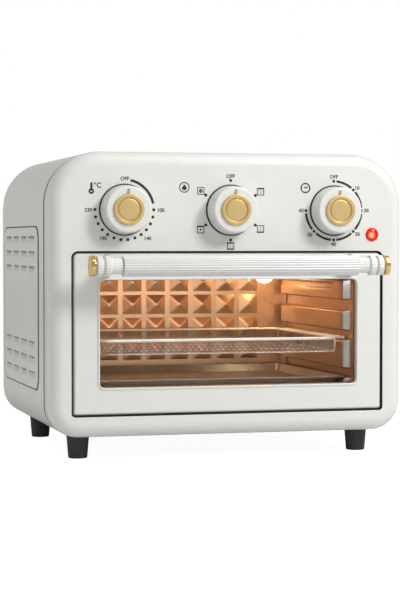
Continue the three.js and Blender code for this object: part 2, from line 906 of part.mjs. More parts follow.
/** Side wall of the chamber, with four bulges whose upper edges are the rack ledges. */
function makeSideWall(side) {
  const bottom = chamberFloor - sheet;
  const top = chamberCeiling + sheet;
  const rear = chamberBack - seat;
  const bands = [
    [bulgeBottom, trayLedge],
    [trayLedge + trayChannel, basketLedge],
    [basketLedge + basketChannel, spareLedge],
    [spareLedge + spareChannel, bulgeTop],
  ];
  let body = solid(block(
    chamberHalfWidth, chamberHalfWidth + sheet, chamberFront, rear, bottom, top,
  ));
  for (const [low, high] of bands) {
    body = body.add(solid(bulge(low, high, 0)));
  }
  for (const [low, high] of bands) {
    body = cut(body, bulge(low + sheet, high - sheet, sheet));
  }
  const bulgeFace = chamberHalfWidth - bulgeDepth;
  const beadFace = bulgeFace + beadDepth;
  body = body.add(solid(wallBead(sheet, bulgeFace + sheet / 2, beadFace + sheet)));
  body = cut(body, wallBead(0, bulgeFace - overrun, beadFace));
  const heaterHole = clearOf(heaterRadius, heaterHoleGap);
  for (const up of [lowerHeaterHeight, upperHeaterHeight]) {
    for (const inwards of [heaterFrontIn, heaterRearIn]) {
      body = cut(body, rodAcross(
        heaterHole, inwards, up,
        chamberHalfWidth - overrun, chamberHalfWidth + sheet + overrun,
      ));
    }
  }
  const geometry = geometryOf(body);
  return side < 0 ? mirrored(geometry) : geometry;
}

/** The same geometry on the other side of the oven, with its faces still pointing out. */
function mirrored(geometry) {
  const copy = geometry.clone();
  copy.scale(-1, 1, 1);
  const faces = copy.index.array;
  for (let face = 0; face < faces.length; face += 3) {
    [faces[face], faces[face + 1]] = [faces[face + 1], faces[face]];
  }
  copy.computeVertexNormals();
  return copy;
}

/** Back wall of the chamber, pressed into rows of shallow four-sided pyramids. */
function makeChamberBack() {
  const plate = block(
    -chamberHalfWidth - sheet, chamberHalfWidth + sheet, chamberBack, chamberBack + sheet,
    chamberFloor - sheet, chamberCeiling + sheet,
  );
  const pyramid = (across, up, offset) => {
    const rise = pyramidRise + sheet / 2;
    const geometry = new THREE.ConeGeometry(pyramidBase / Math.SQRT2, rise, 4);
    geometry.rotateY(Math.PI / 4);
    geometry.rotateX(Math.PI);
    geometry.translate(across, chamberBack + offset + sheet / 2 - rise / 2, up);
    return geometry;
  };
  let body = solid(plate);
  for (const offset of [0, sheet]) {
    for (let column = 0; column < pyramidColumns; column += 1) {
      for (let row = 0; row < pyramidRows; row += 1) {
        const across = (column - (pyramidColumns - 1) / 2) * pyramidPitchAcross;
        const up = pyramidFirstHeight + row * pyramidPitchUp;
        const form = solid(pyramid(across, up, offset));
        body = offset > 0 ? body.subtract(form) : body.add(form);
      }
    }
  }
  return geometryOf(body);
}

/** Ceiling of the chamber, with the openings of the fan and the lamp. */
function makeCeiling() {
  const shape = roundedShape(
    seat - chamberHalfWidth, chamberHalfWidth - seat, chamberFront, chamberBack - seat, sheet,
  );
  shape.holes.push(discShape(fanOpeningRadius, 0, fanIn));
  shape.holes.push(discShape(lampHolderRadius - lampWall, lampPlaceAcross, lampIn, mediumSides));
  return lying(shape, chamberCeiling, chamberCeiling + sheet);
}

/** Floor of the chamber, with two stiffening beads pressed along it. */
function makeFloor() {
  const rear = chamberBack - seat;
  const half = chamberHalfWidth - seat;
  const profile = new THREE.Shape();
  const bottom = chamberFloor - sheet;
  const bead = sheet * 2;
  const places = [-1, 1].map((side) => side * half / 2);
  profile.moveTo(-half, bottom);
  for (const place of places) {
    profile.lineTo(place - 3 * bead, bottom);
    profile.lineTo(place - 2 * bead, bottom + bead);
    profile.lineTo(place + 2 * bead, bottom + bead);
    profile.lineTo(place + 3 * bead, bottom);
  }
  profile.lineTo(half, bottom);
  profile.lineTo(half, bottom + sheet);
  for (const place of [...places].reverse()) {
    profile.lineTo(place + 3 * bead, bottom + sheet);
    profile.lineTo(place + 2 * bead, bottom + sheet + bead);
    profile.lineTo(place - 2 * bead, bottom + sheet + bead);
    profile.lineTo(place - 3 * bead, bottom + sheet);
  }
  profile.lineTo(-half, bottom + sheet);
  return facing(profile, chamberFront, rear);
}

// Heaters, fan and lamp

/** Heater: a straight sheathed rod across the chamber, with an insulator at each end. */
function makeHeater(inwards, up) {
  const wallOut = chamberHalfWidth + sheet + seat;
  const insulatorEnd = wallOut + insulatorLength;
  const half = [
    [heaterRadius, 0],
    [heaterRadius, wallOut],
    [insulatorRadius, wallOut],
    [insulatorRadius, insulatorEnd],
    [terminalRadius, insulatorEnd],
    [terminalRadius, insulatorEnd + terminalLength],
    [0, insulatorEnd + terminalLength],
  ];
  const left = half.slice(1).reverse().map(([radius, place]) => [radius, -place]);
  return turnedAcross([...left, ...half.slice(1)], inwards, up, wireSides);
}

/** Fan grille: a disc under the fan's opening, cut by rings of curved slots. */
function makeFanGrille() {
  const top = chamberCeiling - seat;
  const bottom = top - grilleThickness;
  const ringStep = (fanOpeningRadius - fanHubRadius) / grilleRings;
  let body = solid(lying(discShape(fanOpeningRadius + grilleMargin), bottom, top));
  for (let ring = 0; ring < grilleRings; ring += 1) {
    const middle = fanHubRadius + ringStep * (ring + 1 / 2);
    const inner = middle - grilleSlotWidth / 2;
    const outer = middle + grilleSlotWidth / 2;
    for (let slot = 0; slot < grilleSlotsPerRing; slot += 1) {
      const start = (slot / grilleSlotsPerRing) * Math.PI * 2;
      const end = start + (Math.PI * 2 * grilleOpenShare) / grilleSlotsPerRing;
      const shape = new THREE.Shape();
      shape.absarc(0, 0, outer, start, end);
      shape.absarc(0, 0, inner, end, start, true);
      body = cut(body, lying(shape, bottom - overrun, top + overrun));
    }
  }
  const geometry = geometryOf(body);
  geometry.translate(0, fanIn, 0);
  return geometry;
}

/** Fan shroud: the deep cover over the fan, with a flange on the ceiling. */
function makeShroud() {
  const bottom = chamberCeiling + sheet + seat;
  const top = bottom + shroudHeight;
  const hole = shaftRadius + 2 * runningGap + sheet;
  const geometry = turnedUp([
    [shroudRadius - sheet, bottom],
    [shroudRadius + shroudFlange, bottom],
    [shroudRadius + shroudFlange, bottom + sheet],
    [shroudRadius, bottom + sheet],
    [shroudRadius - shroudFlange / 2, top],
    [hole, top],
    [hole, top - sheet],
    [shroudRadius - shroudFlange / 2 - sheet, top - sheet],
    [shroudRadius - sheet, bottom],
  ]);
  geometry.translate(0, fanIn, 0);
  return geometry;
}

/** Fan motor: a drum with a nose that stands on the shroud, bored for the shaft. */
function makeMotor() {
  const bottom = chamberCeiling + sheet + seat + shroudHeight + seat;
  const neckTop = bottom + motorNeckHeight;
  const top = neckTop + motorHeight;
  const bore = clearOf(shaftRadius, runningGap, mediumSides);
  const geometry = turnedUp([
    [bore, bottom],
    [motorNeckRadius + shroudFlange / 2, bottom],
    [motorNeckRadius, bottom + motorNeckHeight / 2],
    [motorNeckRadius, neckTop],
    [motorRadius - 2 * sheet, neckTop],
    [motorRadius, neckTop + 2 * sheet],
    [motorRadius, top - 2 * sheet],
    [motorRadius - 2 * sheet, top],
    [0, top],
    [0, neckTop + motorHeight / 2],
    [bore, neckTop + motorHeight / 2],
    [bore, bottom],
  ], mediumSides);
  geometry.translate(0, fanIn, 0);
  return geometry;
}

/** Fan impeller: a hub on its shaft, a back disc and tilted radial blades. */
function makeImpeller() {
  const bottom = chamberCeiling + sheet + fanLift;
  const discTop = bottom + fanBladeHeight + sheet;
  const shaftTop = chamberCeiling + shroudHeight + motorNeckHeight + shaftReach;
  const hub = turnedUp([
    [0, bottom],
    [fanHubRadius - 2 * sheet, bottom],
    [fanHubRadius, bottom + 2 * sheet],
    [fanHubRadius, discTop - sheet],
    [fanRadius * fanDiscShare, discTop - sheet],
    [fanRadius * fanDiscShare, discTop],
    [shaftRadius, discTop],
    [shaftRadius, shaftTop],
    [0, shaftTop],
  ], mediumSides);
  let body = solid(hub);
  for (let blade = 0; blade < fanBladeCount; blade += 1) {
    const length = fanRadius - fanHubRadius + sheet;
    const geometry = new THREE.BoxGeometry(length, fanBladeThickness, fanBladeHeight);
    geometry.rotateZ(THREE.MathUtils.degToRad(fanBladeTilt));
    geometry.translate((fanRadius + fanHubRadius) / 2, 0, bottom + fanBladeHeight / 2 + sheet / 2);
    geometry.rotateZ((blade / fanBladeCount) * Math.PI * 2);
    body = body.add(solid(geometry));
  }
  const geometry = geometryOf(body);
  geometry.translate(0, fanIn, 0);
  return geometry;
}

/** Lamp lens: a hollow glass dome under the ceiling, with a flange. */
function makeLampLens() {
  const top = chamberCeiling - seat;
  const dome = (radius, drop) => {
    const points = [];
    for (let step = 0; step <= domeSteps; step += 1) {
      const turn = (step / domeSteps) * (Math.PI / 2);
      points.push([radius * Math.sin(turn), top - drop * Math.cos(turn)]);
    }
    return points;
  };
  const outside = dome(lampRadius, lampDrop);
  const inside = dome(lampRadius - lampWall, lampDrop - lampWall).reverse();
  const geometry = turnedUp([
    ...outside.slice(0, -1),
    [lampRadius, top - lampWall],
    [lampRadius + lampFlange, top - lampWall],
    [lampRadius + lampFlange, top],
    ...inside,
  ], mediumSides);
  geometry.translate(lampPlaceAcross, lampIn, 0);
  return geometry;
}

/** Lamp holder: the socket on the ceiling, with its bulb hanging into the lens. */
function makeLampHolder() {
  const bottom = chamberCeiling + sheet + seat;
  const [noseWidthShare, noseRiseShare] = bulbNoseShares;
  const geometry = turnedUp([
    [0, chamberCeiling - bulbDrop],
    [bulbRadius * noseWidthShare, chamberCeiling - bulbDrop + bulbRadius * noseRiseShare],
    [bulbRadius, chamberCeiling - bulbDrop + bulbRadius],
    [bulbRadius, bottom],
    [lampHolderRadius + lampFlange, bottom],
    [lampHolderRadius + lampFlange, bottom + sheet],
    [lampHolderRadius, bottom + sheet],
    [lampHolderRadius - 2 * sheet, bottom + lampHolderHeight],
    [0, bottom + lampHolderHeight],
  ], mediumSides);
  geometry.translate(lampPlaceAcross, lampIn, 0);
  return geometry;
}

// Controls

/** Control bracket: the folded strip behind the bezel that carries the three controls. */
function makeControlBracket() {
  const half = dialSpacing + knobBaseRadius;
  const shape = roundedShape(
    -half, half, dialHeight - knobBaseRadius, dialHeight + knobBaseRadius, 3 * sheet,
  );
  let body = join(
    facing(shape, controlPlateIn, controlPlateIn + sheet),
    facing(
      roundedShape(
        -half, half, dialHeight + knobBaseRadius - sheet, dialHeight + knobBaseRadius, sheet / 4,
      ),
      bezelWall + seat, controlPlateIn + sheet,
    ),
    facing(
      roundedShape(
        -half, half, dialHeight - knobBaseRadius, dialHeight - knobBaseRadius + sheet, sheet / 4,
      ),
      bezelWall + seat, controlPlateIn + sheet,
    ),
  );
  for (const place of [-dialSpacing, 0, dialSpacing]) {
    body = cut(body, rodIn(
      clearOf(spindleRadius, spindleHoleGap), place, dialHeight,
      controlPlateIn - overrun, controlPlateIn + sheet + overrun,
    ));
  }
  return geometryOf(body);
}

/** Body of a control: a housing behind the bracket, bored for the spindle. */
function makeControl(across, outline, depth, extra) {
  const front = controlPlateIn + sheet + seat;
  let body = solid(facing(outline, front, front + depth));
  for (const form of extra(front + depth)) {
    body = body.add(solid(form));
  }
  body = cut(body, rodIn(
    clearOf(spindleRadius, runningGap), across, dialHeight, front - overrun, front + depth / 2,
  ));
  return geometryOf(body);
}

/** The thermostat: a round capsule on a square foot, with two blade terminals. */
function makeThermostat() {
  const across = -dialSpacing;
  const half = knobBaseRadius * thermostatShares.half;
  const outline = roundedShape(
    across - half, across + half, dialHeight - half, dialHeight + half,
    half * thermostatShares.corner,
  );
  return makeControl(across, outline, thermostatDepth, (rear) => [
    rodIn(
      half * thermostatShares.capsule, across, dialHeight,
      rear - sheet, rear + half * thermostatShares.capsuleDepth, mediumSides,
    ),
    ...[-1, 1].map((side) => block(
      across + side * half / 2 - sheet / 2, across + side * half / 2 + sheet / 2,
      rear - sheet, rear + half, dialHeight - half + sheet, dialHeight - half + 5 * sheet,
    )),
  ]);
}

/** The function switch: a stack of two wafers with a ring of terminals. */
function makeFunctionSwitch() {
  const radius = knobBaseRadius * switchShares.radius;
  const reach = radius * switchShares.terminalPlace;
  return makeControl(0, discShape(radius, 0, dialHeight, mediumSides), switchDepth, (rear) => {
    const forms = [rodIn(
      radius * switchShares.wafer, 0, dialHeight,
      rear - sheet, rear + radius * switchShares.waferDepth, mediumSides,
    )];
    for (let terminal = 0; terminal < switchTerminals; terminal += 1) {
      const turn = (terminal / switchTerminals) * Math.PI * 2;
      const right = Math.sin(turn) * reach;
      const up = dialHeight + Math.cos(turn) * reach;
      forms.push(block(
        right - 2 * sheet, right + 2 * sheet, rear, rear + radius * switchShares.terminalReach,
        up - sheet / 2, up + sheet / 2,
      ));
    }
    return forms;
  });
}

/** The timer: a clockwork case with a round bell on its back. */
function makeTimer() {
  const across = dialSpacing;
  const half = knobBaseRadius * timerShares.half;
  const outline = roundedShape(
    across - half, across + half, dialHeight - half, dialHeight + half, half * timerShares.corner,
  );
  return makeControl(across, outline, timerDepth, (rear) => [
    turnedIn([
      [0, rear - sheet],
      [half * timerShares.neck, rear - sheet],
      [half * timerShares.neck, rear + 2 * sheet],
      [half * timerShares.rim, rear + 2 * sheet],
      [half * timerShares.crown, rear + half * timerShares.rimDepth],
      [0, rear + half * timerShares.depth],
    ], across, dialHeight, mediumSides),
  ]);
}

/** Knob: a tapered shell with a rounded shoulder, a hollow back and a bored hub. */
function makeKnob(across) {
  const back = -knobGap;
  const shoulder = [];
  for (let step = 0; step <= domeSteps; step += 1) {
    const turn = (step / domeSteps) * (Math.PI / 2);
    shoulder.push([
      knobFrontRadius - knobEdgeRadius * (1 - Math.cos(turn)),
      -knobShoulderOut - (knobFaceOut - knobShoulderOut) * Math.sin(turn),
    ]);
  }
  const bore = clearOf(spindleRadius, seat, roundSides);
  const roof = -knobShoulderOut + knobWall / 2;
  return turnedIn([
    [bore, back],
    [bore, -knobShoulderOut - seat],
    [0, -knobShoulderOut - seat],
    [0, -knobFaceOut],
    ...shoulder.reverse(),
    [knobBaseRadius, back],
    [knobBaseRadius - knobWall, back],
    [knobFrontRadius - knobWall, roof],
    [knobHubRadius, roof],
    [knobHubRadius, back],
    [bore, back],
  ], across, dialHeight);
}

/** Knob cap: the turned disc on the knob's face, with the pointer in one piece. */
function makeKnobCap(across) {
  const back = -knobFaceOut - seat;
  const dish = -capFaceOut + capDishDepth;
  const disc = turnedIn([
    [0, dish],
    [capDishRadius, dish],
    [capDishRadius + capDishDepth / 2, -capFaceOut],
    [capRadius - capDishDepth / 2, -capFaceOut],
    [capRadius, -capFaceOut + capDishDepth / 2],
    [capRadius, back],
    [0, back],
  ], across, dialHeight);
  const pointer = new THREE.Shape();
  const root = dialHeight + capDishRadius + capDishDepth;
  const tip = dialHeight + capRadius + pointerReach;
  pointer.moveTo(across - pointerRootWidth / 2, root);
  pointer.lineTo(across + pointerRootWidth / 2, root);
  pointer.lineTo(across + pointerTipWidth / 2, tip);
  pointer.lineTo(across - pointerTipWidth / 2, tip);
  return geometryOf(join(disc, facing(pointer, -capFaceOut + capDishDepth / 2, back)));
}

/** Spindle: the shaft from the knob's hub into the control, with its flat. */
function makeSpindle(across) {
  const front = -knobShoulderOut;
  const rear = controlPlateIn + sheet + seat + spindleEngagement;
  const body = cut(
    solid(rodIn(spindleRadius, across, dialHeight, front, rear)),
    block(
      across - spindleRadius - overrun, across + spindleRadius + overrun,
      front - overrun, -knobGap,
      dialHeight + spindleRadius - spindleFlatDepth, dialHeight + spindleRadius + overrun,
    ),
  );
  return geometryOf(body);
}

/** Indicator lens: a domed jewel with its stem through the bezel. */
function makeIndicator() {
  const stem = indicatorRadius - indicatorRim;
  const dome = [];
  for (let step = 0; step <= edgeSteps; step += 1) {
    const turn = (step / edgeSteps) * (Math.PI / 2);
    dome.push([indicatorRadius * Math.sin(turn), -seat - indicatorRise * Math.cos(turn)]);
  }
  return turnedIn([
    ...dome,
    [stem, -seat],
    [stem, bezelWall + indicatorRise],
    [0, bezelWall + indicatorRise],
  ], indicatorPlace, indicatorHeight, mediumSides);
}

// Door

/** Door frame: a moulded shell with a raised window lip, the glass seat and pin bosses. */
function makeDoorFrame() {
  const edge = [];
  for (let step = 0; step <= edgeSteps; step += 1) {
    const turn = (step / edgeSteps) * (Math.PI / 2);
    edge.push(standingRing(
      doorShape(doorEdgeRadius * (1 - Math.sin(turn)) * doorEdgeInShare),
      doorEdgeRadius * (1 - Math.cos(turn)),
    ));
  }
  edge.push(standingRing(doorShape(0), doorShellDepth));
  let body = cut(
    solid(loft(edge)),
    facing(doorShape(doorWall), doorWall, doorShellDepth + overrun),
  );
  const lip = loft([
    standingRing(windowShape(windowLipWidth * windowLipCrestShare), -windowLipRise),
    standingRing(windowShape(windowLipWidth), doorWall / 2),
  ]);
  const glassSeat = facing(windowShape(glassMargin), doorWall / 2, glassFront - seat);
  body = body.add(solid(lip)).add(solid(glassSeat));
  body = cut(body, facing(windowShape(0), -overrun - windowLipRise, doorShellDepth));
  for (const side of [-1, 1]) {
    const outer = side * (doorHalfWidth - doorWall / 2);
    const inner = side * (doorHalfWidth - doorWall - pinInset);
    const boss = block(
      Math.min(outer, inner), Math.max(outer, inner), doorWall / 2, doorShellDepth - 2 * doorWall,
      doorBottom + doorWall / 2, 2 * hingeAxisHeight - doorBottom,
    );
    body = body.add(solid(boss));
    const length = doorWall + pinInset + overrun;
    const middle = side * (doorHalfWidth - doorWall);
    body = cut(body, rodAcross(
      clearOf(pinRadius, runningGap), hingeAxisIn, hingeAxisHeight,
      middle - length, middle + length,
    ));
  }
  return geometryOf(body);
}

/** Door liner: the pressed inner frame, with the ridge that meets the chamber's frame. */
function makeDoorLiner() {
  const margin = doorWall + seat;
  const plate = roundedShape(
    margin - doorHalfWidth, doorHalfWidth - margin, linerBottom, doorTop - margin, windowLipWidth,
  );
  const ridgeShape = (inset) => {
    const reach = linerRidgeOut + linerRidgeWidth - inset;
    return roundedShape(
      -chamberHalfWidth - reach, chamberHalfWidth + reach,
      linerBottom + inset, chamberCeiling + reach, windowRadius,
    );
  };
  let body = join(
    facing(plate, linerPlateIn, linerPlateIn + sheet),
    facing(ridgeShape(0), linerPlateIn + sheet / 2, linerBack),
  );
  body = cut(body, facing(ridgeShape(linerRidgeWidth), linerPlateIn + sheet, linerBack + overrun));
  body = body.add(solid(facing(windowShape(sheet), glassRear + seat, linerPlateIn + sheet / 2)));
  body = cut(body, facing(windowShape(0), glassFront, linerBack + overrun));
  return geometryOf(body);
}

/** Door glass: a flat toughened pane in the frame's seat. */
function makeGlass() {
  return facing(windowShape(glassMargin), glassFront, glassRear);
}

/** The handle's outline round its axis, with flutes. */
function flutedRing(radius, depth, along) {
  const points = [];
  for (let index = 0; index < 2 * fluteCount; index += 1) {
    const turn = (index / (2 * fluteCount)) * Math.PI * 2;
    const reach = index % 2 === 0 ? radius : radius - depth;
    points.push(new THREE.Vector3(
      along, -handleOut + reach * Math.sin(turn), handleHeight + reach * Math.cos(turn),
    ));
  }
  return points;
}

/** Handle grip: the long fluted bar. */
function makeGrip() {
  const half = tubeHalfLength - seat;
  return loft([
    flutedRing(handleRadius, fluteDepth, -half),
    flutedRing(handleRadius, fluteDepth, half),
  ]);
}

/** Handle end, right side: flare ring, neck, two collars and the post down to the door. */
function makeHandleEnd() {
  const flareEnd = tubeHalfLength + flareLength;
  const neckEnd = flareEnd + neckLength;
  const collarBEnd = neckEnd + collarBLength;
  const grooveOneEnd = collarBEnd + collarGrooveLength;
  const collarAEnd = grooveOneEnd + collarALength;
  const end = collarAEnd + collarGrooveLength;
  const groove = handleRadius - grooveDepth;
  const ends = turnedAcross([
    [0, tubeHalfLength],
    [flareRadius, tubeHalfLength],
    [flareRadius, flareEnd],
    [neckRadius, flareEnd + neckBlend],
    [neckRadius, neckEnd - neckBlend],
    [handleRadius, neckEnd + neckBlend],
    [handleRadius, collarBEnd],
    [groove, collarBEnd],
    [groove, grooveOneEnd],
    [handleRadius, grooveOneEnd],
    [handleRadius, collarAEnd],
    [groove, collarAEnd],
    [groove, end - seat],
    [0, end - seat],
  ], -handleOut, handleHeight, handleSides);
  const section = (width, height, place) => {
    const shape = new THREE.Shape();
    shape.absellipse(neckMiddle, handleHeight, width / 2, height / 2, 0, Math.PI * 2);
    return standingRing(shape, place, wireSides);
  };
  const post = loft([
    section(postWidth, postHeight, -handleOut),
    section(postWidth, postHeight, -handleOut + neckRadius),
    section(postMiddleWidth, postMiddleHeight, -postMiddleOut),
    section(postRootWidth, postRootHeight, -seat),
  ]);
  return geometryOf(join(ends, post));
}

/** Handle cap, right side: the turned end ring and its domed end. */
function makeHandleCap() {
  const start = handleHalfLength - capLength;
  return turnedAcross([
    [0, start],
    [handleRadius, start],
    [handleRadius, handleHalfLength - capEdge],
    [handleRadius - capEdge, handleHalfLength],
    [0, handleHalfLength],
  ], -handleOut, handleHeight, handleSides);
}

/** Hinge pin, right side: from the door's boss through the jamb into the bracket. */
function makeHingePin() {
  const inner = doorHalfWidth - doorWall - pinInset + sheet;
  const outer = openingHalfWidth + jambWall + seat + bracketThickness + springLength + seat;
  return rodAcross(pinRadius, hingeAxisIn, hingeAxisHeight, inner, outer, smallSides);
}

/** Hinge bracket, right side: a plate behind the jamb, bored for the pin, with a foot. */
function makeHingeBracket() {
  const left = openingHalfWidth + jambWall + seat;
  const front = bezelWall + seat;
  const level = (share) => hingeAxisHeight + bracketHeight * share;
  const shape = roundedShape(
    front, jambDepth, level(-bracketShares.below), level(bracketShares.above), sheet,
  );
  const body = cut(
    join(
      sideways(shape, left, left + bracketThickness),
      block(
        left, left + springLength, front, front + bracketThickness,
        level(bracketShares.footFrom), level(bracketShares.footTo),
      ),
    ),
    rodAcross(
      clearOf(pinRadius, runningGap), hingeAxisIn, hingeAxisHeight, left - overrun,
      left + bracketThickness + overrun,
    ),
  );
  return geometryOf(body);
}

/** Hinge spring, right side: a torsion spring wound round the end of the pin. */
function makeHingeSpring() {
  const start = openingHalfWidth + jambWall + seat + bracketThickness + seat + springWire / 2;
  const radius = pinRadius + seat + springWire / 2;
  const steps = springTurns * springSteps;
  const pitch = (springLength - 2 * springWire) / springTurns;
  const rings = [];
  for (let step = 0; step <= steps; step += 1) {
    const turn = (step / springSteps) * Math.PI * 2;
    const along = start + (pitch * step) / springSteps;
    const ring = [];
    for (let side = 0; side < wireSides; side += 1) {
      const spin = (side / wireSides) * Math.PI * 2;
      const reach = radius + (springWire / 2) * Math.cos(spin);
      ring.push(new THREE.Vector3(
        along + (springWire / 2) * Math.sin(spin),
        hingeAxisIn + reach * Math.cos(turn),
        hingeAxisHeight + reach * Math.sin(turn),
      ));
    }
    rings.push(ring);
  }
  console.log('hinge spring: least gap between turns', (pitch - springWire).toFixed(2), 'mm');
  return loft(rings);
}

/** Door stay, right side: a quadrant arm that stops the door, with a foot on the liner. */
function makeStay() {
  const inner = stayRadius - stayWidth / 2;
  const outer = stayRadius + stayWidth / 2;
  const start = THREE.MathUtils.degToRad(stayStartTurn);
  const end = THREE.MathUtils.degToRad(stayEndTurn);
  const arc = new THREE.Shape();
  arc.absarc(hingeAxisIn, hingeAxisHeight, outer, start, end);
  arc.absarc(hingeAxisIn, hingeAxisHeight, inner, end, start, true);
  const hookAcross = hingeAxisIn + inner * Math.cos(start);
  const hookUp = hingeAxisHeight + inner * Math.sin(start);
  const hook = block(
    stayPlace - stayThickness / 2, stayPlace + stayThickness / 2,
    hookAcross - stayHookLength, hookAcross + stayWidth / 2, hookUp, hookUp + stayThickness,
  );
  const footFront = linerPlateIn + sheet + seat;
  const footMiddle = hingeAxisHeight + Math.sqrt(stayRadius ** 2 - (footFront - hingeAxisIn) ** 2);
  const foot = block(
    stayPlace - stayWidth / 2, stayPlace + stayWidth / 2, footFront, footFront + stayThickness / 2,
    footMiddle - stayWidth, footMiddle + stayWidth,
  );
  const arm = sideways(arc, stayPlace - stayThickness / 2, stayPlace + stayThickness / 2, wireSides);
  const body = cut(
    join(arm, hook, foot),
    block(
      stayPlace - stayWidth, stayPlace + stayWidth, hingeAxisIn, footFront,
      hingeAxisHeight, footMiddle + 2 * stayWidth,
    ),
  );
  return geometryOf(body);
}

// Basket and tray

/** Outline of a rack seen from above, drawn in by a distance. */
function rackShape(inset, radius = rimCornerRadius) {
  const half = chamberHalfWidth - rackGap - inset;
  return roundedShape(-half, half, rackFront + inset, rackRear - inset, Math.max(radius - inset, sheet));
}

/** Outline of the basket seen from above, inside its side runners, drawn in by a distance. */
function basketShape(inset) {
  const half = chamberHalfWidth - rackGap - basketRunner - inset;
  return roundedShape(-half, half, rackFront + inset, rackRear - inset, rimCornerRadius - inset);
}

/** Basket frame: the rim and floor wires, the cross wires and the runners at the sides. */
function makeBasketFrame() {
  const rimHeight = basketLedge + seat + rimWireRadius;
  const lowInset = rimWireRadius + basketWallSlope;
  const lowHeight = rimHeight - basketDepth;
  const loopAt = (inset, height) => wireLoop(
    outlinePoints(basketShape(inset), cornerSteps + 1)
      .map((point) => new THREE.Vector3(point.x, point.y, height)),
    rimWireRadius,
  );
  const rimInset = rimWireRadius;
  let body = join(loopAt(rimInset, rimHeight), loopAt(lowInset, lowHeight));
  const middle = (rackFront + rackRear) / 2;
  const reach = (rackRear - rackFront) / 2 - rimCornerRadius;
  const lowHalf = chamberHalfWidth - rackGap - basketRunner - lowInset;
  const rimHalf = chamberHalfWidth - rackGap - basketRunner - rimInset;
  const runnerHalf = chamberHalfWidth - rackGap - rimWireRadius;
  for (let link = 0; link < basketLinks; link += 1) {
    const place = middle + (link / (basketLinks - 1) - 1 / 2) * 2 * reach;
    body = body.add(solid(rodAcross(
      rimWireRadius, middle + (place - middle) / 2, lowHeight, -lowHalf, lowHalf, wireSides,
    )));
    for (const side of [-1, 1]) {
      const low = new THREE.Vector3(side * lowHalf, place, lowHeight);
      const high = new THREE.Vector3(side * rimHalf, place, rimHeight);
      const out = new THREE.Vector3(side * runnerHalf, place, rimHeight);
      body = body.add(solid(strut(low, high, rimWireRadius)));
      body = body.add(solid(strut(high, out, rimWireRadius)));
    }
  }
  for (const side of [-1, 1]) {
    const start = new THREE.Vector3(side * runnerHalf, middle - reach - rimWireRadius, rimHeight);
    const end = new THREE.Vector3(side * runnerHalf, middle + reach + rimWireRadius, rimHeight);
    body = body.add(solid(strut(start, end, rimWireRadius)));
  }
  return geometryOf(body);
}

/** A straight wire between two points. */
function strut(from, to, radius) {
  const length = from.distanceTo(to);
  const geometry = new THREE.CylinderGeometry(radius, radius, length, wireSides);
  geometry.translate(0, length / 2, 0);
  const along = new THREE.Vector3().subVectors(to, from).normalize();
  geometry.applyQuaternion(new THREE.Quaternion().setFromUnitVectors(new THREE.Vector3(0, 1, 0), along));
  geometry.translate(from.x, from.y, from.z);
  return geometry;
}

/** Basket mesh: a shallow pan of expanded metal with diamond gaps, inside the frame. */
function makeBasketMesh() {
  const top = basketLedge + seat + 2 * rimWireRadius;
  const bottom = top - basketDepth + seat;
  const upperInset = 2 * rimWireRadius + seat;
  const lowerInset = upperInset + basketWallSlope;
  const pan = (grow, low, high) => loft([
    lyingRing(basketShape(lowerInset + grow), low, cornerSteps + 1),
    lyingRing(basketShape(upperInset + grow), high, cornerSteps + 1),
  ]);
  const floor = bottom + meshThickness;
  const half = chamberHalfWidth - rackGap - basketRunner - lowerInset;
  let body = cut(solid(pan(0, bottom, top)), pan(meshThickness, floor, top + meshThickness));
  const diamonds = [];
  const columns = Math.floor((half - meshMargin) / meshCellAcross);
  const middle = (rackFront + rackRear) / 2;
  const reach = (rackRear - rackFront) / 2 - lowerInset;
  const rows = Math.floor((reach - meshMargin) / meshCellIn);
  for (const shift of [0, 0.5]) {
    for (let column = -columns; column <= columns; column += 1) {
      for (let row = -rows; row <= rows; row += 1) {
        const across = (column + shift) * meshCellAcross;
        const inwards = middle + (row + shift) * meshCellIn;
        const fits = Math.abs(across) < half - meshMargin - meshCellAcross / 2
          && Math.abs(inwards - middle) < reach - meshMargin - meshCellIn / 2;
        if (fits) {
          diamonds.push(solid(lying(
            diamondShape(across, inwards, meshCellAcross, meshCellIn),
            bottom - overrun, floor + overrun,
          )));
        }
      }
    }
  }
  for (const gap of diamonds) {
    body = body.subtract(gap);
  }
  return geometryOf(body);
}

/** One diamond gap of the mesh. */
function diamondShape(across, up, width, height) {
  const halfWide = width / 2 - meshBarWidth / 2;
  const halfHigh = height / 2 - meshBarWidth / 2;
  const shape = new THREE.Shape();
  shape.moveTo(across - halfWide, up);
  shape.lineTo(across, up - halfHigh);
  shape.lineTo(across + halfWide, up);
  shape.lineTo(across, up + halfHigh);
  return shape;
}

/** Baking tray: a pressed pan with sloping walls and a flat rim that rides on the ledges. */
function makeTray() {
  const rimBottom = trayLedge + seat;
  const rimTop = rimBottom + trayLipHeight;
  const bottom = rimTop - trayDepth;
  const rimInset = trayRimWidth;
  const floorInset = rimInset + trayWallSlope;
  const pan = (grow, low, high) => loft([
    lyingRing(rackShape(floorInset + grow), low, cornerSteps + 1),
    lyingRing(rackShape(rimInset + grow), high, cornerSteps + 1),
  ]);
  const rim = lying(rackShape(0), rimBottom, rimTop, cornerSteps + 1);
  const body = cut(join(rim, pan(0, bottom, rimTop)), pan(trayWall, bottom + trayWall, rimTop + trayWall));
  return geometryOf(body);
}

// Assembly

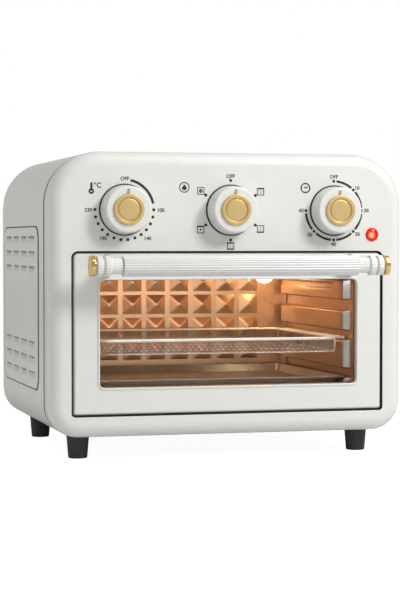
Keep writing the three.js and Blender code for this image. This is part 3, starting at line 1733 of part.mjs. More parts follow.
addPiece('front_bezel', makeBezel(), 'ivory');
addPiece('outer_wrap', makeWrap(), 'ivory');
addPiece('back_panel', makeBackPanel(), 'zinc');
addPiece('base_plate', makeBasePlate(), 'zinc');
addPiece('cord_gland', makeGland(), 'black');
addPiece('foot_front_left', makeFoot(-footPlace, footFrontIn), 'charcoal');
addPiece('foot_front_right', makeFoot(footPlace, footFrontIn), 'charcoal');
addPiece('foot_rear_left', makeFoot(-footPlace, footRearIn), 'charcoal');
addPiece('foot_rear_right', makeFoot(footPlace, footRearIn), 'charcoal');

addPiece('chamber_frame', makeChamberFrame(), 'steel');
addPiece('chamber_wall_left', makeSideWall(-1), 'steel');
addPiece('chamber_wall_right', makeSideWall(1), 'steel');
addPiece('chamber_back', makeChamberBack(), 'steel');
addPiece('chamber_ceiling', makeCeiling(), 'steel');
addPiece('chamber_floor', makeFloor(), 'steel');

addPiece('upper_heater_front', makeHeater(heaterFrontIn, upperHeaterHeight), 'heater');
addPiece('upper_heater_rear', makeHeater(heaterRearIn, upperHeaterHeight), 'heater');
addPiece('lower_heater_front', makeHeater(heaterFrontIn, lowerHeaterHeight), 'heater');
addPiece('lower_heater_rear', makeHeater(heaterRearIn, lowerHeaterHeight), 'heater');
addPiece('fan_grille', makeFanGrille(), 'steel');
addPiece('fan_shroud', makeShroud(), 'zinc');
addPiece('fan_motor', makeMotor(), 'zinc');
addPiece('fan_impeller', makeImpeller(), 'steel');
addPiece('lamp_lens', makeLampLens(), 'glass');
addPiece('lamp_holder', makeLampHolder(), 'zinc');

addPiece('control_bracket', makeControlBracket(), 'zinc');
addPiece('thermostat', makeThermostat(), 'black');
addPiece('function_switch', makeFunctionSwitch(), 'black');
addPiece('timer', makeTimer(), 'zinc');
addPiece('indicator_lens', makeIndicator(), 'red');

const dials = { temperature: -dialSpacing, function: 0, timer: dialSpacing };
for (const [name, place] of Object.entries(dials)) {
  addPiece(`${name}_knob`, makeKnob(place), 'ivory');
  addPiece(`${name}_knob_cap`, makeKnobCap(place), 'gold');
  addPiece(`${name}_spindle`, makeSpindle(place), 'zinc');
}

addPiece('door_frame', makeDoorFrame(), 'ivory');
addPiece('door_glass', makeGlass(), 'glass');
addPiece('door_liner', makeDoorLiner(), 'steel');
addPiece('handle_grip', makeGrip(), 'ivory');

const handed = {
  handle_end: [makeHandleEnd(), 'ivory'],
  handle_cap: [makeHandleCap(), 'gold'],
  hinge_pin: [makeHingePin(), 'zinc'],
  hinge_bracket: [makeHingeBracket(), 'zinc'],
  hinge_spring: [makeHingeSpring(), 'steel'],
  door_stay: [makeStay(), 'zinc'],
};
for (const [name, [geometry, finish]] of Object.entries(handed)) {
  addPiece(`${name}_right`, geometry, finish);
  addPiece(`${name}_left`, mirrored(geometry), finish);
}

addPiece('basket_frame', makeBasketFrame(), 'steel');
addPiece('basket_mesh', makeBasketMesh(), 'steel');
addPiece('baking_tray', makeTray(), 'enamel');

// The origin stands on the worktop, under the middle of the box round all the pieces

const frontReach = handleOut + flareRadius;
const rearReach = bodyDepth + glandLength;
oven.position.y = (frontReach - rearReach) / 2;

export default oven;
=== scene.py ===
"""Countertop convection oven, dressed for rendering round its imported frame.

Sizes are in millimetres from the oven's datum: X runs to the right seen from the front, Y runs
into the oven from the bezel's front face, and Z runs up from the worktop. Skin.build() turns
them into metres in the frame's own place.
"""
import logging
import math
from collections.abc import Callable, Iterable, Iterator, Sequence
from contextlib import contextmanager
from dataclasses import dataclass
from enum import Enum

import bmesh
import bpy
from mathutils import Matrix, Vector
from mathutils.geometry import tessellate_polygon


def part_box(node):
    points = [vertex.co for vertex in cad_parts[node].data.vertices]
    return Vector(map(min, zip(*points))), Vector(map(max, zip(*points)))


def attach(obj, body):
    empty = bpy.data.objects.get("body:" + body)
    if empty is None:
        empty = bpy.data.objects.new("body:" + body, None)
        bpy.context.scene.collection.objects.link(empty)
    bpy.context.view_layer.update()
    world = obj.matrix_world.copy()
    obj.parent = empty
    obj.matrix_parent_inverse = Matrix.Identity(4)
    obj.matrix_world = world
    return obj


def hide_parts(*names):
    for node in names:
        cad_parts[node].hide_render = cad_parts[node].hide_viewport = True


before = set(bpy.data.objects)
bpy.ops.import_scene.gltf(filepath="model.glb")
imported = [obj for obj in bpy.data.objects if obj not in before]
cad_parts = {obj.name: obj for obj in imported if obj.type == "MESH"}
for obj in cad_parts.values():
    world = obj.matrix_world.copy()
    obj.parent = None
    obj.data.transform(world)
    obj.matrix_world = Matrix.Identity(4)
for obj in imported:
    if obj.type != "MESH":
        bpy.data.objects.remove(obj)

log = logging.getLogger("oven")

Piece = bpy.types.Object
Mesh = bpy.types.Mesh
Material = bpy.types.Material
Tree = bpy.types.NodeTree
Socket = bpy.types.NodeSocket
Place = tuple[float, float, float]
Flat = list[tuple[float, float]]
Colour = tuple[float, float, float]
Outline = Callable[[float], Flat]

METRE = 0.001
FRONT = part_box("front_bezel")[0].y
SHARP_TURN = math.radians(33)
GUARD = 0.4
FULL_TURN = 2 * math.pi
IMAGE_LONG_SIDE = 600
SENSOR_WIDTH = 36.0


class Body(Enum):
    """The bodies that pieces ride on."""

    CABINET = "cabinet"
    DOOR = "door"
    TEMPERATURE = "temperature_dial"
    FUNCTION = "function_dial"
    TIMER = "timer_dial"
    BASKET = "basket"
    TRAY = "tray"


class Axis(Enum):
    """The way a turned form or a flat outline faces."""

    ACROSS = "x"
    INWARDS = "y"
    UP = "z"


DIALS = (
    ("temperature", Body.TEMPERATURE, -112.7), ("function", Body.FUNCTION, 0.0),
    ("timer", Body.TIMER, 112.7),
)
DIAL_HEIGHT = 257.4
LENS_PLACE = (155.4, 232.3)
ORIGIN = (0.0, 0.0, 0.0)
SIDES = ((1, "right"), (-1, "left"))


def to_frame(place: Sequence[float]) -> Vector:
    """A place in millimetres from the datum, in metres in the frame."""
    return Vector((place[0] * METRE, place[1] * METRE + FRONT, place[2] * METRE))


def oriented(axis: Axis, across: float, up: float, along: float) -> Place:
    """A point of a flat outline, set up to face along an axis.

    Args:
        axis: The axis that the outline faces.
        across: First coordinate in the outline's plane.
        up: Second coordinate in the outline's plane.
        along: Place along the axis.

    Returns:
        The point in millimetres from the datum.
    """
    if axis is Axis.INWARDS:
        return across, along, up
    if axis is Axis.UP:
        return across, up, along
    return along, across, up


def rounded(
    left: float, right: float, bottom: float, top: float, upper: float, lower: float,
    steps: int = 10,
) -> Flat:
    """A rectangle with one corner radius at the top and one at the bottom.

    A guard point stands on the straight just beside each corner, so that the shading of the
    straight stays flat.

    Args:
        left: Left side.
        right: Right side.
        bottom: Lower side.
        top: Upper side.
        upper: Radius of the upper corners.
        lower: Radius of the lower corners.
        steps: Straight pieces in each corner.

    Returns:
        The closed outline, anticlockwise.
    """
    corners = (
        (right - lower, bottom + lower, lower, -90),
        (right - upper, top - upper, upper, 0),
        (left + upper, top - upper, upper, 90),
        (left + lower, bottom + lower, lower, 180),
    )
    points: Flat = []
    for middle, height, radius, start in corners:
        for step in range(-1, steps + 2):
            turn = math.radians(start + 90 * min(max(step, 0), steps) / steps)
            ahead = GUARD if step > steps else -GUARD if step < 0 else 0.0
            points.append((
                middle + radius * math.cos(turn) - ahead * math.sin(turn),
                height + radius * math.sin(turn) + ahead * math.cos(turn),
            ))
    return points


def circle(radius: float, across: float, up: float, sides: int = 48) -> Flat:
    """A circle as a closed outline, anticlockwise."""
    turns = [FULL_TURN * side / sides for side in range(sides)]
    return [(across + radius * math.cos(t), up + radius * math.sin(t)) for t in turns]


def eased(profile: Flat, radius: float, closed: bool = False, steps: int = 3) -> Flat:
    """A profile with its corners rounded off.

    Args:
        profile: The points of the profile.
        radius: How far the rounding starts from each corner, at most.
        closed: Whether the profile closes on itself.
        steps: Straight pieces in each rounding.

    Returns:
        The eased profile.
    """
    count = len(profile)
    points: Flat = []
    for index, corner in enumerate(profile):
        if not closed and index in (0, count - 1):
            points.append(corner)
            continue
        here = Vector(corner)
        before = Vector(profile[index - 1]) - here
        after = Vector(profile[(index + 1) % count]) - here
        reach = min(radius, before.length * 0.45, after.length * 0.45)
        start = here + before.normalized() * reach
        end = here + after.normalized() * reach
        for step in range(steps + 1):
            share = step / steps
            point = start.lerp(here, share).lerp(here.lerp(end, share), share)
            points.append((point.x, point.y))
    return points


def quarter(steps: int) -> Flat:
    """The cosines and sines of even steps through a quarter turn."""
    turns = [math.pi / 2 * step / steps for step in range(steps + 1)]
    return [(math.cos(turn), math.sin(turn)) for turn in turns]


def neighbours(points: Sequence[Vector], index: int, closed: bool) -> tuple[Vector, Vector]:
    """The points before and after one, or itself beyond an open end."""
    before = index - 1 if index or closed else index
    after = (index + 1) % len(points) if closed or index + 1 < len(points) else index
    return points[before], points[after]


def clamped(value: float) -> float:
    """A value held between 0 and 1."""
    return min(max(value, 0.0), 1.0)


def smooth(value: float) -> float:
    """A share from 0 to 1, eased at both ends."""
    share = clamped(value)
    return share * share * (3 - 2 * share)


class Skin:
    """The points and faces of one mesh while it is being made."""

    def __init__(self) -> None:
        """Starts an empty skin."""
        self.places: list[Place] = []
        self.faces: list[tuple[int, ...]] = []
        self.slots: list[int] = []
        self.slot = 0

    def ring(self, points: Iterable[Sequence[float]]) -> list[int]:
        """Adds points and returns their numbers."""
        start = len(self.places)
        self.places.extend((p[0], p[1], p[2]) for p in points)
        return list(range(start, len(self.places)))

    def face(self, *corners: int) -> None:
        """Adds one face."""
        self.faces.append(tuple(corners))
        self.slots.append(self.slot)

    def bridge(self, near: list[int], far: list[int], closed: bool = True) -> None:
        """Joins two rings with faces. A ring of one point is a pole."""
        count = max(len(near), len(far))
        for index in range(count if closed else count - 1):
            beside = (index + 1) % count
            corners = []
            for ring, order in ((near, (index, beside)), (far, (beside, index))):
                corners.extend([ring[0]] if len(ring) == 1 else [ring[i] for i in order])
            self.face(*corners)

    def flat(self, axis: Axis, points: Iterable[tuple[float, float]], along: float) -> list[int]:
        """Adds a flat outline that faces along an axis."""
        return self.ring(oriented(axis, a, b, along) for a, b in points)

    def strip(self, rings: Sequence[list[int]], closed: bool = True, looped: bool = False) -> None:
        """Joins each ring to the next one, and the last to the first where it is looped."""
        for near, far in zip(rings, [*rings[1:], rings[0]] if looped else rings[1:]):
            if len(near) > 1 or len(far) > 1:
                self.bridge(near, far, closed)

    def grid(self, rows: Iterable[Iterable[Place]]) -> list[list[int]]:
        """Adds rows of points and joins each to the next, open at both ends."""
        lines = [self.ring(row) for row in rows]
        self.strip(lines, closed=False)
        return lines

    def draw(self, outline: Outline, stations: Iterable[tuple[float, float]]) -> list[list[int]]:
        """Adds and joins rings that face the front, from how far each is drawn and its depth."""
        rings = [self.flat(Axis.INWARDS, outline(drawn), along) for drawn, along in stations]
        self.strip(rings)
        return rings

    def cap(self, rings: Sequence[list[int]]) -> None:
        """Closes both ends of a row of rings with one face each."""
        self.face(*reversed(rings[0]))
        self.face(*rings[-1])

    def loft(self, rings: Sequence[list[Place]]) -> None:
        """Skins a list of rings with as many points each, and closes its ends."""
        numbers = [self.ring(ring) for ring in rings]
        self.strip(numbers)
        self.cap(numbers)

    def fill(self, outer: list[int], holes: Sequence[list[int]] = ()) -> None:
        """Fills a flat ring with triangles, leaving holes."""
        loops = [outer, *holes]
        numbers = [number for loop in loops for number in loop]
        lines = [[Vector(self.places[number]) for number in loop] for loop in loops]
        for corners in tessellate_polygon(lines):
            self.face(*(numbers[corner] for corner in corners))

    def build(self, name: str, outwards: bool = True) -> Piece:
        """Makes the object, with its faces turned outwards if asked, and puts it in the scene."""
        mesh = bpy.data.meshes.new(name)
        mesh.from_pydata([to_frame(place) for place in self.places], [], self.faces)
        mesh.polygons.foreach_set("material_index", self.slots)
        if outwards:
            with edited(mesh) as net:
                bmesh.ops.remove_doubles(net, verts=net.verts, dist=METRE / 1000)
                bmesh.ops.recalc_face_normals(net, faces=net.faces)
        return shown(name, mesh)


@contextmanager
def edited(mesh: Mesh) -> Iterator[bmesh.types.BMesh]:
    """Opens a mesh for editing and writes it back."""
    net = bmesh.new()
    net.from_mesh(mesh)
    yield net
    net.to_mesh(mesh)
    net.free()


def linked(name: str, data: bpy.types.ID) -> Piece:
    """Makes an object of some data and puts it in the scene."""
    made = bpy.data.objects.new(name, data)
    bpy.context.scene.collection.objects.link(made)
    return made


def shown(name: str, mesh: Mesh) -> Piece:
    """Puts a mesh in the scene, shaded smooth but for its sharp edges."""
    mesh.shade_smooth()
    mesh.set_sharp_from_angle(angle=SHARP_TURN)
    return linked(name, mesh)


def evaluated(source: Piece) -> Mesh:
    """The plain mesh that an object comes out as. The object is removed."""
    bpy.context.view_layer.update()
    graph = bpy.context.evaluated_depsgraph_get()
    mesh = bpy.data.meshes.new_from_object(source.evaluated_get(graph))
    source.modifiers.clear()
    bpy.data.objects.remove(source)
    return mesh


def thickened(piece: Piece, thickness: float) -> Piece:
    """Gives a single surface its sheet's thickness, behind its faces."""
    modifier = piece.modifiers.new("sheet", "SOLIDIFY")
    modifier.thickness = thickness * METRE
    modifier.offset = -1.0
    return shown(piece.name, evaluated(piece))


def turned(
    profile: Flat, axis: Axis, first: float, second: float, sides: int = 64, closed: bool = False,
    skin: Skin | None = None,
) -> Skin:
    """Revolves a profile.

    Args:
        profile: Pairs of radius and place along the axis.
        axis: The axis that it turns about.
        first: The axis's place in the first coordinate across it.
        second: The axis's place in the second coordinate across it.
        sides: Facets round the form.
        closed: Whether the profile closes on itself, as a ring's does.
        skin: A skin to add the form to.

    Returns:
        The skin.
    """
    skin = skin or Skin()
    rings = [
        skin.flat(axis, [(first, second)] if radius < METRE else circle(radius, first, second, sides), along)
        for radius, along in profile
    ]
    skin.strip(rings, looped=closed)
    return skin


def wire(
    path: Sequence[Place], radius: float, sides: int = 10, closed: bool = False,
    skin: Skin | None = None,
) -> Skin:
    """Sweeps a round wire along a path.

    Args:
        path: The points that the wire follows.
        radius: The wire's radius.
        sides: Facets round the wire.
        closed: Whether the path closes on itself.
        skin: A skin to add the wire to.

    Returns:
        The skin that holds the wire.
    """
    skin = skin or Skin()
    points = [Vector(point) for point in path]
    rings = []
    side = None
    for index, point in enumerate(points):
        before, after = neighbours(points, index, closed)
        along = (after - before).normalized()
        if side is None:
            side = along.orthogonal() if abs(along.z) >= 0.9 else Vector((0, 0, 1)).cross(along)
            side.normalize()
        side = (side - along * side.dot(along)).normalized()
        up = along.cross(side)
        rings.append(skin.ring(
            point + (side * a + up * b) * radius for a, b in circle(1.0, 0.0, 0.0, sides)
        ))
    skin.strip(rings, looped=closed)
    if not closed:
        skin.cap(rings)
    return skin


def plate(
    outer: Outline, holes: Sequence[Outline], axis: Axis, low: float, high: float,
    ease: float = 0.3, skin: Skin | None = None,
) -> Skin:
    """A flat plate with eased edges and holes.

    Args:
        outer: The outline as a function of how far it is widened.
        holes: The outlines of the holes, as functions of how far they are widened.
        axis: The axis that the plate faces.
        low: Where the plate starts along the axis.
        high: Where it ends.
        ease: The size of the eased edges.
        skin: A skin to add the plate to.

    Returns:
        The skin that holds the plate.
    """
    skin = skin or Skin()
    levels = (
        (low, 2 * ease), (low, ease), (low + ease, 0.0), (high - ease, 0.0), (high, ease), (high, 2 * ease),
    )
    faces: list[list[list[int]]] = [[], []]
    for sign, outline in ((-1, outer), *((1, hole) for hole in holes)):
        rings = [skin.flat(axis, outline(sign * drawn), along) for along, drawn in levels]
        skin.strip(rings)
        faces[0].append(rings[0])
        faces[1].append(rings[-1])
    for edge_loop, *hole_loops in faces:
        skin.fill(edge_loop, hole_loops)
    return skin


class Graph:
    """A node tree being written."""

    def __init__(self, tree: Tree) -> None:
        """Takes the tree to write in."""
        self.tree = tree

    def feed(self, node: bpy.types.Node, feeds: dict) -> None:
        """Fills a node's inputs with sockets to link from, or plain values."""
        for key, value in feeds.items():
            if isinstance(value, Socket):
                self.tree.links.new(value, node.inputs[key])
            else:
                node.inputs[key].default_value = value

    def add(self, kind: str, feeds: dict | None = None, **settings: object) -> bpy.types.Node:
        """Adds one node of a type, with its settings, and fills its inputs."""
        node = self.tree.nodes.new(kind)
        for key, value in settings.items():
            setattr(node, key, value)
        self.feed(node, feeds or {})
        return node

    def get(
        self, kind: str, feeds: dict | None = None, output: int | str = 0, **settings: object,
    ) -> Socket:
        """Adds one node and gives one of its outputs."""
        return self.add(kind, feeds, **settings).outputs[output]

    def sum(self, operation: str, *terms: object) -> Socket:
        """One step of arithmetic on numbers or sockets."""
        return self.get("ShaderNodeMath", dict(enumerate(terms)), operation=operation)

    def blend(self, first: object, second: object, share: float) -> Socket:
        """A share of one number with the rest of another."""
        return self.sum("ADD", self.sum("MULTIPLY", first, share), self.sum("MULTIPLY", second, 1 - share))

    def vector(self, operation: str, *terms: object, output: int | str = 0) -> Socket:
        """One step of arithmetic on vectors."""
        return self.get("ShaderNodeVectorMath", dict(enumerate(terms)), output, operation=operation)


class Grain(Enum):
    """How a surface is worked."""

    PEEL = "sprayed_film"
    BRUSHED = "brushed_lines"
    SPANGLE = "zinc_spangle"
    MOULDED = "moulded_skin"


def socket_type(start: object) -> str:
    """The type of a socket, from its starting value or from the word for its kind."""
    if isinstance(start, tuple):
        return "NodeSocketVector" if len(start) == 3 else "NodeSocketColor"
    return f"NodeSocket{start if isinstance(start, str) else type(start).__name__.title()}"


def new_group(name: str, kind: str, inputs: dict, outputs: dict) -> tuple[Graph, dict, bpy.types.Node]:
    """Starts a node group with named sockets.

    Args:
        name: The group's name.
        kind: The tree's type.
        inputs: Name to starting value, or to the socket's kind where it has none.
        outputs: Name to the socket's kind.

    Returns:
        The graph, the group's inputs by name, and its output node.
    """
    tree = bpy.data.node_groups.new(name, kind)
    for label, start in inputs.items():
        socket = tree.interface.new_socket(label, in_out="INPUT", socket_type=socket_type(start))
        if not isinstance(start, str):
            socket.default_value = start
    for label, start in outputs.items():
        tree.interface.new_socket(label, in_out="OUTPUT", socket_type=socket_type(start))
    graph = Graph(tree)
    source = graph.add("NodeGroupInput")
    return graph, {label: source.outputs[label] for label in inputs}, graph.add("NodeGroupOutput")


GRAIN_INPUTS = {
    "Vector": "Vector",
    "Scale": 800.0,
    "Colour": (0.8, 0.8, 0.8, 1.0),
    "Tone": (0.7, 0.7, 0.7, 1.0),
    "Smooth": 0.3,
    "Rough": 0.4,
}
GRAIN_OUTPUTS = {
    "Colour": "Color", "Roughness": "Float", "Height": "Float",
}


class GrainLibrary:
    """The shader groups that the finishes share, each built once."""

    def __init__(self) -> None:
        """Starts with no group built."""
        self.groups: dict[Grain, Tree] = {}
        self.haze = self.build_haze()

    def build_haze(self) -> Tree:
        """Builds the group that lays a faint, wide haze of handling on a roughness."""
        inputs = {
            "Vector": "Vector",
            "Roughness": 0.3,
            "Amount": 0.05,
        }
        graph, given, out = new_group(
            "handling_haze", "ShaderNodeTree", inputs, {"Roughness": "Float"},
        )
        wide = graph.get("ShaderNodeTexNoise", {"Vector": given["Vector"], "Scale": 14.0, "Detail": 3.0})
        patch = graph.get("ShaderNodeMapRange", {0: wide, 1: 0.42, 2: 0.72, 3: 0.0, 4: 1.0})
        lift = graph.sum("MULTIPLY", patch, given["Amount"])
        graph.feed(out, {0: graph.sum("ADD", given["Roughness"], lift)})
        return graph.tree

    def grain(self, grain: Grain) -> Tree:
        """The group for one way of working a surface."""
        if grain not in self.groups:
            self.groups[grain] = self.build_grain(grain)
        return self.groups[grain]

    def build_grain(self, grain: Grain) -> Tree:
        """Builds the group for one way of working a surface.

        Args:
            grain: The way that the surface is worked.

        Returns:
            A group that gives a colour, a roughness and a height.
        """
        graph, given, out = new_group(grain.value, "ShaderNodeTree", GRAIN_INPUTS, GRAIN_OUTPUTS)
        place, scale = given["Vector"], given["Scale"]
        fine = graph.get("ShaderNodeTexNoise", {"Vector": place, "Scale": scale, "Detail": 4.0})
        wide = graph.get("ShaderNodeTexNoise", {
            "Vector": place, "Scale": graph.sum("MULTIPLY", scale, 0.07), "Detail": 3.0,
        })
        blend, height = wide, fine
        if grain is Grain.SPANGLE:
            cells = graph.get("ShaderNodeTexVoronoi", {
                "Vector": place, "Scale": graph.sum("MULTIPLY", scale, 0.25),
            }, "Color")
            shade = graph.get("ShaderNodeSeparateColor", {0: cells})
            blend, height = graph.blend(shade, wide, 0.6), graph.blend(fine, shade, 0.5)
        elif grain is Grain.BRUSHED:
            blend = graph.blend(fine, wide, 0.7)
        elif grain is Grain.MOULDED:
            pits = graph.get("ShaderNodeTexVoronoi", {"Vector": place, "Scale": scale}, "Distance")
            height = graph.blend(pits, fine, 0.6)
        mixed = graph.get(
            "ShaderNodeMix", {0: blend, 6: given["Colour"], 7: given["Tone"]}, 2, data_type="RGBA",
        )
        roughness = graph.get(
            "ShaderNodeMapRange", {0: fine, 1: 0.3, 2: 0.7, 3: given["Smooth"], 4: given["Rough"]},
        )
        graph.feed(out, {"Colour": mixed, "Roughness": roughness, "Height": height})
        return graph.tree


@dataclass(frozen=True)
class Finish:
    """One finish of the oven."""

    label: str
    slot: str
    colour: Colour
    tone: Colour
    smooth: float
    rough: float
    grain: Grain = Grain.PEEL
    scale: float = 900.0
    relief: float = 0.05
    metallic: float = 0.0
    coat: float = 0.0
    haze: float = 0.04
    transmission: float = 0.0
    glow: Colour | None = None
    heart: Colour | None = None
    heart_place: Place = ORIGIN
    heart_reach: tuple[float, float] = (1.0, 6.0)
    glow_strength: float = 0.0
    bending: float = 1.45

    def lit(self, graph: Graph, place: Socket) -> Socket:
        """The colour of the glow, which runs from its bright heart to its edge."""
        beside = graph.vector("SUBTRACT", place, to_frame(self.heart_place))
        away = graph.vector("LENGTH", graph.vector("MULTIPLY", beside, (1.0, 0.0, 1.0)), output="Value")
        near, far = self.heart_reach
        share = graph.get(
            "ShaderNodeMapRange", {0: away, 1: near * METRE, 2: far * METRE},
            interpolation_type="SMOOTHSTEP",
        )
        return graph.get(
            "ShaderNodeMix", {0: share, 6: (*self.heart, 1.0), 7: (*self.glow, 1.0)}, 2, data_type="RGBA",
        )

    def build(self, library: GrainLibrary) -> Material:
        """Makes the finish's material from the shared shader groups."""
        material = bpy.data.materials.new(self.label)
        material.use_nodes = True
        graph = Graph(material.node_tree)
        place = graph.get("ShaderNodeTexCoord", output="Object")
        worked = graph.add("ShaderNodeGroup", {
            "Vector": place, "Scale": self.scale,
            "Colour": (*self.colour, 1.0), "Tone": (*self.tone, 1.0),
            "Smooth": self.smooth, "Rough": self.rough,
        }, node_tree=library.grain(self.grain)).outputs
        hazed = graph.get("ShaderNodeGroup", {
            "Vector": place, "Roughness": worked["Roughness"], "Amount": self.haze,
        }, node_tree=library.haze)
        bump = graph.get("ShaderNodeBump", {
            "Strength": self.relief, "Distance": 0.0004, "Height": worked["Height"],
        }, "Normal")
        feeds = {
            "Base Color": worked["Colour"], "Roughness": hazed, "Normal": bump, "Metallic": self.metallic,
            "Coat Weight": self.coat, "Coat Roughness": 0.08, "Transmission Weight": self.transmission,
            "IOR": self.bending,
        }
        if self.glow:
            feeds["Emission Color"] = self.lit(graph, place) if self.heart else (*self.glow, 1.0)
            feeds["Emission Strength"] = self.glow_strength
        graph.feed(material.node_tree.nodes["Principled BSDF"], feeds)
        return material


IVORY = Finish(
    "ivory_enamel", "ivory_paint", (0.80, 0.80, 0.765), (0.765, 0.765, 0.73), 0.26, 0.33,
    scale=1600.0, relief=0.035, coat=0.35,
)
# Darker copy of the ivory for the pressed louvres: painted shade of their recesses, not a second paint.
LOUVRE_SHADE = Finish(
    "shaded_enamel", "ivory_paint", (0.68, 0.68, 0.65), (0.64, 0.64, 0.61), 0.4, 0.5,
    scale=1600.0, relief=0.035,
)
# Dark ivory for the field's groove and the louvres' slits: painted shade in these creases and openings.
CREVICE_SHADE = Finish(
    "crevice_enamel", "ivory_paint", (0.34, 0.34, 0.325), (0.16, 0.16, 0.15), 0.6, 0.75,
    scale=1600.0, relief=0.035,
)
PEARL = Finish(
    "pearl_handle", "ivory_paint", (0.75, 0.75, 0.74), (0.72, 0.72, 0.71), 0.26, 0.32,
    scale=1400.0, relief=0.008, coat=0.25, metallic=0.12,
)
GOLD = Finish(
    "champagne_gold", "gold_trim", (0.8, 0.6, 0.27), (0.7, 0.51, 0.22), 0.3, 0.42,
    Grain.BRUSHED, 2600.0, relief=0.05, metallic=0.75,
)
BRIGHT_GOLD = Finish(
    "polished_gold", "gold_trim", (0.86, 0.62, 0.26), (0.78, 0.54, 0.21), 0.07, 0.11,
    Grain.BRUSHED, 2200.0, relief=0.01, metallic=1.0, haze=0.02,
)
# Its orange tone is partly the steel's own and partly painted warm lamplight.
CHAMBER = Finish(
    "chamber_steel", "chamber_steel", (0.69, 0.475, 0.31), (0.64, 0.43, 0.27), 0.26, 0.31,
    scale=1500.0, relief=0.003, metallic=0.9, haze=0.03,
)
ZINC = Finish(
    "zinc_sheet", "zinc_plate", (0.56, 0.57, 0.58), (0.42, 0.43, 0.45), 0.34, 0.52,
    Grain.SPANGLE, 260.0, relief=0.12, metallic=0.85, haze=0.12,
)
HEATER = Finish(
    "heater_sheath", "heater_sheath", (0.3, 0.19, 0.13), (0.18, 0.12, 0.09), 0.45, 0.65,
    Grain.BRUSHED, 500.0, relief=0.12, metallic=0.6,
)
RUBBER = Finish(
    "charcoal_rubber", "charcoal_rubber", (0.05, 0.05, 0.047), (0.035, 0.035, 0.033), 0.5, 0.66,
    Grain.MOULDED, 900.0, relief=0.2,
)
BLACK = Finish(
    "black_plastic", "black_plastic", (0.014, 0.014, 0.014), (0.022, 0.022, 0.022), 0.42, 0.56,
    Grain.MOULDED, 1100.0, relief=0.15,
)
INK = Finish(
    "dial_ink", "black_plastic", (0.012, 0.012, 0.012), (0.03, 0.03, 0.03), 0.45, 0.6,
    scale=2400.0, relief=0.02,
)
WIRE = Finish(
    "wire_chrome", "wire_chrome", (0.92, 0.92, 0.91), (0.84, 0.84, 0.83), 0.22, 0.32,
    Grain.BRUSHED, 1500.0, relief=0.02, metallic=0.1,
)
TRAY_STEEL = Finish(
    "tray_steel", "tray_steel", (0.42, 0.42, 0.42), (0.34, 0.34, 0.335), 0.26, 0.4,
    Grain.SPANGLE, 500.0, relief=0.06, metallic=0.85, haze=0.1,
)
JEWEL = Finish(
    "red_lens", "red_lens", (0.55, 0.008, 0.005), (0.4, 0.005, 0.004), 0.05, 0.09,
    scale=700.0, relief=0.05, glow=(0.34, 0.0, 0.0), heart=(1.0, 0.62, 0.26),
    heart_place=(154.2, 0.0, 231.8), heart_reach=(0.0, 4.9), glow_strength=1.05, bending=1.4,
)
LAMP_GLOW = Finish(
    "lamp_bulb", "lamp_glass", (1.0, 0.85, 0.6), (1.0, 0.8, 0.5), 0.3, 0.4,
    scale=500.0, relief=0.03, glow=(1.0, 0.78, 0.42), glow_strength=3.0,
)
GLASS = Finish(
    "door_pane", "door_glass", (1.0, 0.985, 0.96), (0.98, 0.965, 0.94), 0.0, 0.012,
    scale=120.0, relief=0.004, haze=0.01, transmission=1.0, bending=1.12,
)
LAMP_GLASS = Finish(
    "lamp_dome", "lamp_glass", (1.0, 0.95, 0.85), (0.97, 0.9, 0.8), 0.03, 0.08,
    scale=160.0, relief=0.05, haze=0.02, transmission=0.6, glow=(1.0, 0.86, 0.6), glow_strength=0.9,
)
FINISHES = (
    IVORY, LOUVRE_SHADE, CREVICE_SHADE, PEARL, GOLD, BRIGHT_GOLD, CHAMBER, ZINC, HEATER, RUBBER, BLACK, INK, WIRE,
    TRAY_STEEL, JEWEL, LAMP_GLOW, GLASS, LAMP_GLASS,
)


class Workshop:
    """Makes the finishes once and fits finished pieces to the frame."""

    def __init__(self) -> None:
        """Builds every finish's material and the Geometry Nodes trees."""
        library = GrainLibrary()
        self.materials = {finish.label: finish.build(library) for finish in FINISHES}
        self.grid, self.points, self.path = grid_pattern(), point_pattern(), path_pattern()
        self.dots, self.flutes = dial_pattern(), flute_pattern()

    def material(self, finish: Finish) -> Material:
        """The material of a finish."""
        return self.materials[finish.label]

    def lay_grid(
        self, name: str, finish: Finish, unit: Piece, counts: tuple[int, int],
        column_step: Place, row_step: Place, start: Place,
    ) -> Piece:
        """Repeats a unit over a grid, and sets its first one at a place."""
        piece = self.grid.make(
            name, self.material(finish), unit=unit, columns=counts[0], rows=counts[1],
            column_step=tuple(step * METRE for step in column_step),
            row_step=tuple(step * METRE for step in row_step),
        )
        piece.data.transform(Matrix.Translation(to_frame(start)))
        return piece

    def fit(
        self, piece: Piece, body: Body, finish: Finish, *stands_for: str,
        extra: Sequence[Finish] = (),
    ) -> None:
        """Dresses a piece and hangs it on its body."""
        slots = [polygon.material_index for polygon in piece.data.polygons]
        piece.data.materials.clear()
        for each in (finish, *extra):
            piece.data.materials.append(self.material(each))
        piece.data.polygons.foreach_set("material_index", slots)
        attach(piece, body.value)
        if stands_for:
            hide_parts(*stands_for)
        log.info("%s on %s, %d faces", piece.name, body.value, len(piece.data.polygons))

    def dress(self, finish: Finish, *names: str) -> None:
        """Gives nodes of the frame a finish."""
        for name in names:
            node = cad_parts[name]
            node.data.materials.clear()
            node.data.materials.append(self.material(finish))


def joined(name: str, pieces: Sequence[Piece]) -> Piece:
    """Joins objects that are at the origin into one mesh."""
    net = bmesh.new()
    for piece in pieces:
        net.from_mesh(piece.data)
        bpy.data.objects.remove(piece)
    mesh = bpy.data.meshes.new(name)
    net.to_mesh(mesh)
    net.free()
    return shown(name, mesh)


